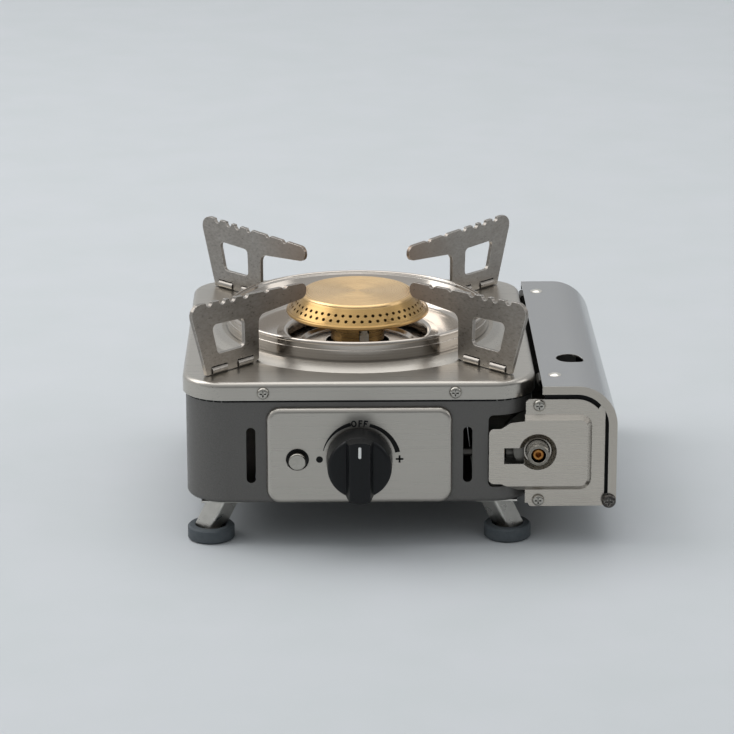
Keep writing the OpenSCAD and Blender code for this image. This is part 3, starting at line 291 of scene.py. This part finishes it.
def stainless_spun(name):
    """Stainless bowl, pressed and then polished on a spindle: faint rings round its axis and long soft
    highlights."""
    material, tree, surface = start(name, Metallic=1.0)
    rings = turned_streaks(tree, 0.5)
    tone = blend_colours(tree, span(tree, rings, 0.0, 1.0), "#bab2a9", "#c9c1b8")
    # lighter edges, #efe9e1: partly wear, partly a painted highlight
    worn_and_highlit = blend_colours(tree, edge_wear_and_highlight(tree, 0.4), tone, "#efe9e1")
    # painted shade: the colour darkens to #2b241d in recesses and along joints
    shaded = blend_colours(tree, painted_shade_in_corners(tree, 2.0, 0.85), worn_and_highlit, "#2b241d")
    tree.links.new(shaded, surface.inputs["Base Color"])
    tree.links.new(span(tree, rings, 0.13, 0.19), surface.inputs["Roughness"])
    stretch_round_axis(tree, surface, 0.2)
    relief(tree, surface, rings, 0.001)
    return material


def brass_turned(name, brass_top):
    """Free-cutting brass, faced on a lathe: a pale satin gold disc with rings that fan the light out, and
    flanks that the flame has toned brown. brass_top is the disc's height."""
    material, tree, surface = start(name, Metallic=1.0)
    rings = turned_streaks(tree, 0.4, seed=2.0)
    clouds = grain(tree, (16, 16, 16), 1.0)
    tone = blend_colours(tree, span(tree, rings, 0.0, 1.0), "#ecc68f", "#ffdca6")
    warmed = blend_colours(tree, span(tree, clouds, 0.0, 0.25), tone, "#d8aa72")
    place = add(tree, "ShaderNodeSeparateXYZ", {0: add(tree, "ShaderNodeTexCoord").outputs["Object"]})
    below = span(tree, place.outputs["Z"], 1.0, 0.0, brass_top - 2.2 * MM, brass_top - 0.8 * MM)
    smoked = blend_colours(tree, below, warmed, "#ba9864")
    # painted shade: the colour darkens to #3a2814 in recesses and along joints
    shaded = blend_colours(tree, painted_shade_in_corners(tree, 1.2, 0.6), smoked, "#3a2814")
    tree.links.new(shaded, surface.inputs["Base Color"])
    tree.links.new(span(tree, rings, 0.24, 0.34), surface.inputs["Roughness"])
    stretch_round_axis(tree, surface, 0.8)
    relief(tree, surface, rings, 0.002, edge_mm=0.35)
    return material


def brass_small(name):
    """Brass of the small turned parts, a little darker from handling."""
    material, tree, surface = start(name, Metallic=1.0, Roughness=0.3)
    spots = grain(tree, (1.2, 1.2, 1.2), 4.0)
    tone = blend_colours(tree, span(tree, spots, 0.0, 1.0), "#9c6a38", "#c08a4e")
    tree.links.new(tone, surface.inputs["Base Color"])
    relief(tree, surface, spots, 0.01)
    return material


def powder_paint(name):
    """Dark grey metallic paint, sprayed and baked: satin, with a faint flake and orange peel. The flake is too
    fine to show, so it is drawn 0.7 mm wide. The inside of the housing is left as bare galvanised sheet."""
    material, tree, surface = start(name, Metallic=0.35, Coat_Weight=0.1, Coat_Roughness=0.35)
    flake = grain(tree, (0.7, 0.7, 0.7), 2.0, detail=1.0)
    peel = grain(tree, (2.6, 2.6, 2.6), 6.0, detail=1.0)
    sprayed = blend_colours(tree, span(tree, flake, 0.0, 1.0), "#5f5d5a", "#686663")
    bare_inside = blend_colours(tree, facing_inside(tree, HOUSING_MIDDLE_MM), sprayed, "#807d78")
    tree.links.new(bare_inside, surface.inputs["Base Color"])
    tree.links.new(span(tree, peel, 0.4, 0.48), surface.inputs["Roughness"])
    relief(tree, surface, peel, 0.005, edge_mm=0.3)
    return material


def stainless_heated(name, low_end):
    """Stamped stainless, dulled and browned by the flame: darker towards the burner and bright on its rolled
    feet. Its cut edges are lighter, partly wear and partly a painted highlight, and its recesses darker,
    painted shade. low_end is the feet's lowest height."""
    material, tree, surface = start(name, Metallic=1.0)
    radius, height = place_round_axis(tree)
    mottle = grain(tree, (2.4, 2.4, 1.2), 3.0, detail=4.0)
    bands = grain(tree, (14, 14, 9), 8.0)
    heat = span(tree, radius, 0.7, 0.0, 50 * MM, 92 * MM)
    worn = blend_colours(tree, span(tree, mottle, 0.0, 1.0), "#8b8680", "#a59f98")
    clouded = blend_colours(tree, span(tree, bands, 0.0, 0.35), worn, "#7f7871")
    toned = blend_colours(tree, heat, clouded, "#8d7a6a")
    foot = span(tree, height, 1.0, 0.0, low_end + 2 * MM, low_end + 4 * MM)
    bright_foot = blend_colours(tree, foot, toned, "#aaa49c")
    # lighter edges, #e8e2da: partly wear, partly a painted highlight
    worn_and_highlit = blend_colours(tree, edge_wear_and_highlight(tree, 0.4), bright_foot, "#e8e2da")
    # painted shade: the colour darkens to #26231f in recesses and along joints
    shaded = blend_colours(tree, painted_shade_in_corners(tree, 1.0, 0.8), worn_and_highlit, "#26231f")
    tree.links.new(shaded, surface.inputs["Base Color"])
    tree.links.new(span(tree, mottle, 0.26, 0.4), surface.inputs["Roughness"])
    relief(tree, surface, mottle, 0.008, edge_mm=0.45)
    return material


def steel_zinc(name, colour="#d6d3cc", clouded="#bdbab4", roughness=0.3):
    """Zinc-plated mild steel: bright and slightly cloudy, with the sheet's rolling marks showing through.
    Duller colours make bare steel or die-cast zinc of it."""
    material, tree, surface = start(name, Metallic=1.0)
    clouds = grain(tree, (5, 5, 5), 7.0)
    rolled = grain(tree, (0.7, 9, 0.7), 9.0)
    tone = blend_colours(tree, span(tree, clouds, 0.0, 0.4), colour, clouded)
    # painted shade: the colour darkens to #24221f in recesses and along joints
    shaded = blend_colours(tree, painted_shade_in_corners(tree, 4.0, 0.8), tone, "#24221f")
    tree.links.new(shaded, surface.inputs["Base Color"])
    tree.links.new(span(tree, clouds, roughness - 0.05, roughness + 0.1), surface.inputs["Roughness"])
    relief(tree, surface, rolled, 0.002)
    return material


def nickel_plate(name, dark="#a7a39b", light="#b5b1a9"):
    """Nickel-plated screws, rivets and button: semi-bright, with soft edges left by the plating. Darker
    colours give blacked screws and a darker regulator sleeve."""
    material, tree, surface = start(name, Metallic=1.0)
    spots = grain(tree, (2.2, 2.2, 2.2), 5.0)
    tone = blend_colours(tree, span(tree, spots, 0.0, 1.0), dark, light)
    # lighter edges, #ebe7df: partly wear, partly a painted highlight
    worn_and_highlit = blend_colours(tree, edge_wear_and_highlight(tree, 0.4), tone, "#ebe7df")
    # painted shade: the colour darkens to #1d1c1a in recesses, such as the screws' cross recesses, and along
    # joints
    shaded = blend_colours(tree, painted_shade_in_corners(tree, 1.2, 0.9), worn_and_highlit, "#1d1c1a")
    tree.links.new(shaded, surface.inputs["Base Color"])
    tree.links.new(span(tree, spots, 0.17, 0.23), surface.inputs["Roughness"])
    relief(tree, surface, spots, 0.002, edge_mm=0.3)
    return material


def steel_spring(name):
    """Spring steel, oil-tempered: nearly black with a dull metallic gleam. Sintered ferrite looks the same."""
    material, tree, surface = start(name, Metallic=1.0, Roughness=0.42)
    scale = grain(tree, (1.1, 1.1, 1.1), 6.0)
    tone = blend_colours(tree, span(tree, scale, 0.0, 1.0), "#3a3835", "#5a5752")
    tree.links.new(tone, surface.inputs["Base Color"])
    relief(tree, surface, scale, 0.01)
    return material


def plastic_moulded(name, dark, light, roughness):
    """Black phenolic or ABS moulding: satin, with the fine spark-eroded grain of its mould, about 0.3 mm
    across and drawn 0.5 mm across to show."""
    material, tree, surface = start(name, Specular_IOR_Level=0.28)
    sparks = grain(tree, (0.5, 0.5, 0.5), 1.0)
    tone = blend_colours(tree, span(tree, sparks, 0.0, 1.0), dark, light)
    tree.links.new(tone, surface.inputs["Base Color"])
    tree.links.new(span(tree, sparks, roughness - 0.04, roughness + 0.06), surface.inputs["Roughness"])
    relief(tree, surface, sparks, 0.006, edge_mm=0.5)
    return material


def silicone_moulded(name, dark, light, roughness=0.62):
    """Silicone rubber: matt, very smooth, with a trace of dust. In black it makes the strips that stand in for
    shade in gaps, which are painted shade.
    """
    material, tree, surface = start(name, IOR=1.41)
    dust = grain(tree, (3, 3, 3), 2.0)
    tone = blend_colours(tree, span(tree, dust, 0.0, 1.0), dark, light)
    tree.links.new(tone, surface.inputs["Base Color"])
    tree.links.new(span(tree, dust, roughness - 0.05, roughness + 0.06), surface.inputs["Roughness"])
    relief(tree, surface, grain(tree, (0.6, 0.6, 0.6), 3.0), 0.008, edge_mm=0.6)
    return material


def alumina_glazed(name):
    """Alumina ceramic with a thin clear glaze, which gives it a wet gloss over faint specks."""
    material, tree, surface = start(name, Roughness=0.2, IOR=1.6, Coat_Weight=0.4, Coat_Roughness=0.1)
    specks = grain(tree, (0.7, 0.7, 0.7), 3.0)
    tone = blend_colours(tree, span(tree, specks, 0.0, 1.0), "#dcd7ca", "#efece2")
    tree.links.new(tone, surface.inputs["Base Color"])
    relief(tree, surface, specks, 0.006)
    return material


def ink_printed(name, dark, light):
    """Screen-printed ink: a thin, flat, slightly uneven film."""
    material, tree, surface = start(name, Specular_IOR_Level=0.25)
    film = grain(tree, (0.6, 0.6, 0.6), 2.0)
    tone = blend_colours(tree, span(tree, film, 0.0, 1.0), dark, light)
    tree.links.new(tone, surface.inputs["Base Color"])
    tree.links.new(span(tree, film, 0.45, 0.58), surface.inputs["Roughness"])
    return material


# The finish of each material slot
FINISHES = {
    "housing_paint": powder_paint("paint_dark_grey"),
    "brushed_panel": stainless_brushed("stainless_brushed", "#bdb8b0", "#b7b2aa", 0.28, painted_rise_shade="#736d66"),
    "cover_steel": stainless_brushed("stainless_cover", "#b9b9b9", "#b2b2b2", 0.24, seed=11.0,
                                     dull_and_shaded_inside=True, end_wall_reflection="#bcb5ab"),
    "bowl_steel": stainless_spun("stainless_spun"),
    "brass": brass_turned("brass_turned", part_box("burner_cap")[1].z),
    "support_steel": stainless_heated("stainless_heated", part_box("pot_support_fl")[0].z),
    "bright_steel": steel_zinc("steel_zinc"),
    "nickel": nickel_plate("nickel_plate"),
    "spring_steel": steel_spring("steel_spring"),
    "knob_plastic": plastic_moulded("phenolic_black", "#0a0b0d", "#101214", 0.34),
    "black_plastic": plastic_moulded("abs_black", "#101113", "#17181a", 0.42),
    "rubber_grey": silicone_moulded("silicone_slate", "#4b5155", "#555b5f"),
    "ceramic": alumina_glazed("alumina_glazed"),
    "lead_sleeve": silicone_moulded("silicone_cream", "#d9d5c8", "#e6e2d6", 0.5),
    "magnet": steel_spring("ferrite_dark"),
}
SMALL_BRASS = brass_small("brass_small")
END_PLATES = stainless_brushed("stainless_end_plate", "#cbc4ba", "#c0b9af", 0.27, seed=4.0, dull_and_shaded_inside=True,
                               scratch_mm=0.00025)
BRIGHT_RIVETS = nickel_plate("nickel_bright", "#d8d4cc", "#e4e0d8")
# darker nickel for the regulator sleeve
DARK_NICKEL = nickel_plate("nickel_dark", "#7d786f", "#8c877e")
DARK_SCREWS = nickel_plate("steel_blacked", "#4b4845", "#57534f")
# darker dull steel: the gas pipe's finish, and painted shade on the bulkhead
DULL_AND_SHADED_STEEL = steel_zinc("steel_dull_and_shaded", "#6d6a66", "#5b5955", 0.4)
# darker mill-finish steel, partly painted shade for the tray and saddles deep in the bay
MILL_SHEET_SHADED = steel_zinc("steel_mill_finish_shaded", "#8f8c86", "#7d7a74", 0.36)
DIE_CAST = steel_zinc("zinc_die_cast", "#86837d", "#74716c", 0.45)

# Nodes whose finish departs from that of their slot
FINISH_BY_NODE = {
    # bay_tray, cartridge_saddles and bulkhead take darker steel than their slot: partly an unplated finish,
    # partly painted shade on parts seen through holes into the shaded bay
    "bay_tray": MILL_SHEET_SHADED,
    "bulkhead": DULL_AND_SHADED_STEEL,
    "cartridge_saddles": MILL_SHEET_SHADED,
    "cover_rivets": BRIGHT_RIVETS,
    "end_plate": END_PLATES,
    "gas_pipe": DULL_AND_SHADED_STEEL,
    "hinge_screws": DARK_SCREWS,
    "rear_end_plate": END_PLATES,
    "regulator_body": DIE_CAST,
    "regulator_sleeve": DARK_NICKEL,
}

for part in frame["record"]["subparts"]:
    node, slot = part["node"], part["material_slot"]
    finish = FINISHES[slot]
    if slot == "brass" and not node.startswith("burner"):
        finish = SMALL_BRASS
    finish = FINISH_BY_NODE.get(node, finish)
    for place in frame["nodes"][node].material_slots:
        place.material = finish


# ---- Mesh helpers --------------------------------------------------------

def object_from(mesh, name, finish):
    """Turns a bmesh into an object with one finish, and puts it into the scene."""
    data = bpy.data.meshes.new(name)
    mesh.to_mesh(data)
    mesh.free()
    data.materials.append(finish)
    made = bpy.data.objects.new(name, data)
    bpy.context.scene.collection.objects.link(made)
    return made


def join_rows(mesh, rows):
    """Joins each closed row of points to the next one with a band of faces."""
    count = len(rows[0])
    for a, b in zip(rows, rows[1:]):
        for i in range(count):
            j = (i + 1) % count
            mesh.faces.new((a[i], a[j], b[j], b[i]))


def close_ends(mesh, rows):
    """Puts a face on the first and the last row."""
    mesh.faces.new(rows[0][::-1])
    mesh.faces.new(rows[-1])


def face_outward(mesh):
    bmesh.ops.recalc_face_normals(mesh, faces=mesh.faces)


# ---- Printed dial --------------------------------------------------------

# All sizes of the print are in millimetres and degrees, from the knob's axis, with 90 degrees upward
INK_PROUD, INK_SUNK = 0.06, 0.02
LETTER, STROKE = 4.1, 0.85
WORD_RADIUS = 21.9
WORD_AT_DEG = (98.4, 88.4, 80.4)
# The arc on either side of the word: the middle radius, width and angle at its one end and at its other
ARCS = (((21.6, 0.35, 166), (21.9, 2.3, 103)), ((21.6, 1.9, 74), (22.6, 2.9, 11)))
DOT_X, DOT_RADIUS = -23.2, 2.0
PLUS_X, PLUS_Z, PLUS_SPAN, PLUS_STROKE = 23.3, 0.1, 4.5, 1.1
MARK_Z, MARK_WIDTH, MARK_HEIGHT, MARK_SUNK = 12.6, 1.7, 7.0, 0.12

panel_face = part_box("control_panel")[0].y
knob_low, knob_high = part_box("knob")
dial_x = (knob_low.x + knob_high.x) / 2
dial_z = (knob_low.z + knob_high.z) / 2


def printed(name, outlines, plane, body, finish):
    """Flat shapes as a thin film on a plane that faces the front."""
    mesh = bmesh.new()
    for outline in outlines:
        places = [(dial_x + x * MM, dial_z + z * MM) for x, z in outline]
        front = [mesh.verts.new((x, plane - INK_PROUD * MM, z)) for x, z in places]
        back = [mesh.verts.new((x, plane + INK_SUNK * MM, z)) for x, z in places]
        mesh.faces.new(front)
        mesh.faces.new(back[::-1])
        for i in range(len(front)):
            j = (i + 1) % len(front)
            mesh.faces.new((front[j], front[i], back[i], back[j]))
    face_outward(mesh)
    piece = object_from(mesh, name, finish)
    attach(piece, body)


def on_circle(radius, degrees):
    return (radius * math.cos(math.radians(degrees)), radius * math.sin(math.radians(degrees)))


def growing_arc(one_end, other_end, steps=24):
    """An arc whose middle radius and width change evenly from one end to the other."""
    outer, inner = [], []
    for i in range(steps + 1):
        middle, width, turn = (a + (b - a) * (i / steps) for a, b in zip(one_end, other_end))
        outer.append(on_circle(middle + width / 2, turn))
        inner.append(on_circle(middle - width / 2, turn))
    return outer + inner[::-1]


def disc(x, z, radius, steps=28):
    return [(x + radius * math.cos(math.tau * i / steps), z + radius * math.sin(math.tau * i / steps))
            for i in range(steps)]


def bar(x, z, width, height):
    return [(x - width / 2, z - height / 2), (x + width / 2, z - height / 2),
            (x + width / 2, z + height / 2), (x - width / 2, z + height / 2)]


def on_arc(shapes, radius, degrees):
    """Moves shapes drawn round (0, 0) to a place on the dial, upright to its circle."""
    turn = math.radians(degrees - 90)
    x0, z0 = on_circle(radius, degrees)
    return [[(x0 + x * math.cos(turn) - z * math.sin(turn), z0 + x * math.sin(turn) + z * math.cos(turn))
             for x, z in shape] for shape in shapes]


def letter_o(height, stroke, steps=12):
    """Two halves of an oval ring, four fifths as wide as it is high."""
    half_width, half_height = height * 0.4, height * 0.5
    ring = []
    for i in range(steps + 1):
        a = math.radians(90 + 180 * i / steps)
        ring.append((half_width * math.cos(a), half_height * math.sin(a)))
    inner = [(x * (1 - stroke / half_width), z * (1 - stroke / half_height)) for x, z in ring]
    left = ring + inner[::-1]
    return [left, [(-x, z) for x, z in left]]


def letter_f(height, stroke):
    """A stem, a top bar and a shorter middle bar."""
    width = height * 0.56
    return [bar(-width / 2 + stroke / 2, 0, stroke, height),
            bar(stroke / 2, height / 2 - stroke / 2, width - stroke, stroke),
            bar(stroke / 2 - width * 0.08, stroke * 0.1, width * 0.84 - stroke, stroke)]


def rounded_mark(x, z, width, height, steps=8):
    """An upright bar with half-round ends."""
    radius = width / 2
    centre_z = z + height / 2 - radius
    turns = [math.pi * i / steps for i in range(steps + 1)]
    top = [(x + radius * math.cos(a), centre_z + radius * math.sin(a)) for a in turns]
    return top + [(2 * x - a, 2 * z - b) for a, b in top]


dial = [growing_arc(*ends) for ends in ARCS]
dial += [disc(DOT_X, 0, DOT_RADIUS)]
dial += [bar(PLUS_X, PLUS_Z, PLUS_SPAN, PLUS_STROKE), bar(PLUS_X, PLUS_Z, PLUS_STROKE, PLUS_SPAN)]
for letter, degrees in zip((letter_o, letter_f, letter_f), WORD_AT_DEG):
    dial += on_arc(letter(LETTER, STROKE), WORD_RADIUS, degrees)
printed("dial_marks", dial, panel_face, "stove",
        ink_printed("ink_black", "#08090a", "#0d0e10"))
printed("knob_mark", [rounded_mark(0, MARK_Z, MARK_WIDTH, MARK_HEIGHT)], knob_low.y + MARK_SUNK * MM, "knob",
        ink_printed("ink_white", "#e9e9e6", "#f6f6f3"))


# ---- Black strip under the top plate's skirt: painted shadow -------------

# matt black for the strips that stand in for shade in gaps: painted shade
SHADOW_BLACK = silicone_moulded("shadow_black", "#0b0b0c", "#121213", 0.8)


def rounded_path(width, depth, radius, from_deg, to_deg, steps=8):
    """Points of a rounded rectangle's outline, through the corners from_deg to to_deg in quarter turns, each
    with the direction that faces out."""
    points = []
    for quarter in range(from_deg // 90, to_deg // 90):
        turn = quarter % 4
        x = (width / 2 - radius) * (1 if turn in (0, 3) else -1)
        y = (depth / 2 - radius) * (1 if turn in (0, 1) else -1)
        for i in range(steps + 1):
            a = math.radians(90 * quarter + 90 * i / steps)
            points.append((x + radius * math.cos(a), y + radius * math.sin(a), math.cos(a), math.sin(a)))
    return points


def skirt_shadow_strip():
    """A black strip set back under the skirt, which stands in for the dark gap between the skirt and the
    housing: painted shadow. It leaves out the side where the cartridge bay is."""
    low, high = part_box("body_shell")
    skirt_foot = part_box("top_plate")[0].z
    width, depth = 2 * abs(low.x), high.y - low.y
    corner_radius, bay_side = 24 * MM, 74 * MM
    height, lap, proud = 1.4 * MM, 0.3 * MM, 0.1 * MM
    section = ((-lap, lap), (proud, lap), (proud, -height), (-lap, -height))
    path = rounded_path(width, depth, corner_radius, 90, 360)
    path = [(bay_side, depth / 2, 0.0, 1.0)] + path[:-1]
    mesh = bmesh.new()
    rows = [[mesh.verts.new((x + nx * out, y + ny * out, skirt_foot + rise)) for out, rise in section]
            for x, y, nx, ny in path]
    join_rows(mesh, rows)
    close_ends(mesh, rows)
    face_outward(mesh)
    shadow_strip = object_from(mesh, "skirt_shadow_strip", SHADOW_BLACK)
    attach(shadow_strip, "stove")


skirt_shadow_strip()


# ---- Return spring of the igniter button ---------------------------------

def return_spring(turns=6, steps=20, sides=8):
    """The button's coil spring, remade in one smooth wire."""
    low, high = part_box("igniter_spring")
    wire = 0.5 * MM
    middle = (low + high) / 2
    coil_radius = (high.x - low.x) / 2 - wire
    length = high.y - low.y - 2 * wire
    forward = Vector((0, 1, 0))
    mesh = bmesh.new()
    rings = []
    for i in range(turns * steps + 1):
        turn = math.tau * i / steps
        outward = Vector((math.cos(turn), 0.0, math.sin(turn)))
        along = low.y + wire + length * i / (turns * steps)
        centre = Vector((middle.x, along, middle.z)) + outward * coil_radius
        rings.append([
            mesh.verts.new(centre + wire * (outward * math.cos(math.tau * k / sides)
                                            + forward * math.sin(math.tau * k / sides)))
            for k in range(sides)])
    join_rows(mesh, rings)
    close_ends(mesh, rings)
    face_outward(mesh)
    for face in mesh.faces:
        face.smooth = True
    spring = object_from(mesh, "return_spring", FINISHES["spring_steel"])
    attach(spring, "stove")
    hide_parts("igniter_spring")
    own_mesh(spring)


return_spring()


# ---- Black strip inside the cartridge cover: painted shade ---------------

def cover_shadow_strip(steps=12):
    """A black strip inside both ends of the cover, painted shade: it fills the gap between the cover's rim and
    the end plates, so that the gap shows dark. It lines the cover's top, bend and side."""
    low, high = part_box("bay_cover")
    plate_face = -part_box("body_shell")[0].y
    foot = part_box("hinge_bushes")[1].z - 0.6 * MM
    left, bend_x = low.x + 1.5 * MM, high.x - 24 * MM
    skin_right, skin_top, skin_bend = high.x - 1.1 * MM, high.z - 1.1 * MM, 22.9 * MM
    inner_right, inner_top, inner_bend = high.x - 7.7 * MM, high.z - 9.2 * MM, 16.3 * MM
    skin_bend_z, inner_bend_z = skin_top - skin_bend, inner_top - inner_bend
    skin, inner = [(left, skin_top)], [(left, inner_top)]
    for i in range(steps + 1):
        a = math.radians(90 - 90 * i / steps)
        skin.append((bend_x + skin_bend * math.cos(a), skin_bend_z + skin_bend * math.sin(a)))
        inner.append((bend_x + inner_bend * math.cos(a), inner_bend_z + inner_bend * math.sin(a)))
    skin.append((skin_right, foot))
    inner.append((inner_right, foot))
    mesh = bmesh.new()
    for side in (-1, 1):
        near, far = side * (plate_face - 1.9 * MM), side * (plate_face - 1.1 * MM)
        rows = []
        for (ax, az), (bx, bz) in zip(skin, inner):
            corners = ((ax, near, az), (ax, far, az), (bx, far, bz), (bx, near, bz))
            rows.append([mesh.verts.new(corner) for corner in corners])
        join_rows(mesh, rows)
        close_ends(mesh, rows)
    face_outward(mesh)
    shadow_lining = object_from(mesh, "cover_shadow_strip", SHADOW_BLACK)
    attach(shadow_lining, "cover")


cover_shadow_strip()


# ---- Air pan below the drip bowl -----------------------------------------

# From the lip round the burner's neck to the flange: distance from the burner's axis and depth below the
# bowl's floor, both in millimetres
PAN_SECTION = ((19.6, 4.9), (19.6, 6.0), (20.4, 6.6), (33.0, 6.6), (34.6, 4.8), (42.5, 4.8), (45.6, 3.6),
               (48.8, 0.9), (50.0, 0.3), (54.0, 0.3))


def burner_pan(steps=96):
    """A spun pan that hangs under the drip bowl's hole and steers air to the burner's neck."""
    half_sheet = 0.3 * MM
    bowl_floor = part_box("drip_bowl")[0].z + 0.4 * MM
    upper, lower = [], []
    for i, (radius, depth) in enumerate(PAN_SECTION):
        (r0, d0), (r1, d1) = PAN_SECTION[max(i - 1, 0)], PAN_SECTION[min(i + 1, len(PAN_SECTION) - 1)]
        along = Vector((r1 - r0, d0 - d1)).normalized()
        r, z = radius * MM, bowl_floor - depth * MM
        upper.append((r - along.y * half_sheet, z + along.x * half_sheet))
        lower.append((r + along.y * half_sheet, z - along.x * half_sheet))
    mesh = bmesh.new()
    turns = [math.tau * k / steps for k in range(steps)]
    rings = [[mesh.verts.new((r * math.cos(a), r * math.sin(a), z)) for a in turns]
             for r, z in upper + lower[::-1]]
    join_rows(mesh, rings + rings[:1])
    face_outward(mesh)
    pan = object_from(mesh, "burner_pan", FINISHES["bowl_steel"])
    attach(pan, "stove")


burner_pan()


# ---- Floor, lights and world ---------------------------------------------

# Each lamp's name, its place and what it is aimed at, its side, all in metres, and its power in watts
LAMPS = (
    ("key_left", (-1.8, 0.5, 1.9), (0, 0.3, 0.0), 1.8, 22),
    ("bank_overhead", (-0.2, 0.6, 2.4), (-0.1, 0.35, 0.0), 2.7, 26),
    ("strip_right", (1.7, -0.1, 0.8), (0, 0, 0.05), 0.9, 3),
)


def paper_backdrop():
    """Seamless backdrop paper: pale blue-grey and matt, with faint clouds some 60 mm across. Its fibres are
    too fine to show."""
    material, tree, surface = start("backdrop_paper", Roughness=0.75, IOR=1.45)
    clouds = grain(tree, (60, 60, 60), 3.0)
    tone = blend_colours(tree, span(tree, clouds, 0.0, 1.0), "#c3c7c9", "#c6c9cc")
    tree.links.new(tone, surface.inputs["Base Color"])
    return material


def lay_floor():
    """Twelve metres square, and a hair below the feet so that the two don't flicker."""
    mesh = bmesh.new()
    bmesh.ops.create_grid(mesh, x_segments=8, y_segments=8, size=6.0)
    floor = object_from(mesh, "floor", paper_backdrop())
    floor.location = (0, 1.5, -0.2 * MM)


def softbox(name, place, target, size, power):
    """A large square lamp behind white diffusion cloth."""
    lamp = bpy.data.lights.new(name, "AREA")
    lamp.shape, lamp.size, lamp.energy = "SQUARE", size, power
    holder = bpy.data.objects.new(name, lamp)
    holder.location = place
    holder.rotation_euler = (Vector(target) - Vector(place)).to_track_quat("-Z", "Y").to_euler()
    bpy.context.scene.collection.objects.link(holder)


def studio_world():
    """A pale studio all round: an even light grey overhead, and walls that go from pale on the left and behind
    to dark on the right and in front."""
    world = bpy.data.worlds.new("studio")
    bpy.context.scene.world = world
    world.use_nodes = True
    tree = world.node_tree
    tree.nodes.clear()
    aim = add(tree, "ShaderNodeSeparateXYZ", {0: add(tree, "ShaderNodeTexCoord").outputs["Generated"]})
    height = span(tree, aim.outputs["Z"], 0.0, 1.0, 0.0, 0.7)
    away = add(tree, "ShaderNodeMath", {0: aim.outputs["X"], 1: aim.outputs["Y"]}, operation="SUBTRACT")
    beside = span(tree, away.outputs[0], 0.0, 1.0, -1.3, 1.1)
    walls = blend_colours(tree, beside, "#eceff1", "#33373a")
    tone = blend_colours(tree, height, walls, "#e1e4e6")
    sky = add(tree, "ShaderNodeBackground", {"Color": tone, "Strength": 0.8})
    out = add(tree, "ShaderNodeOutputWorld")
    tree.links.new(sky.outputs[0], out.inputs["Surface"])


lay_floor()
for lamp_facts in LAMPS:
    softbox(*lamp_facts)
studio_world()

bpy.context.scene.view_settings.view_transform = "Standard"
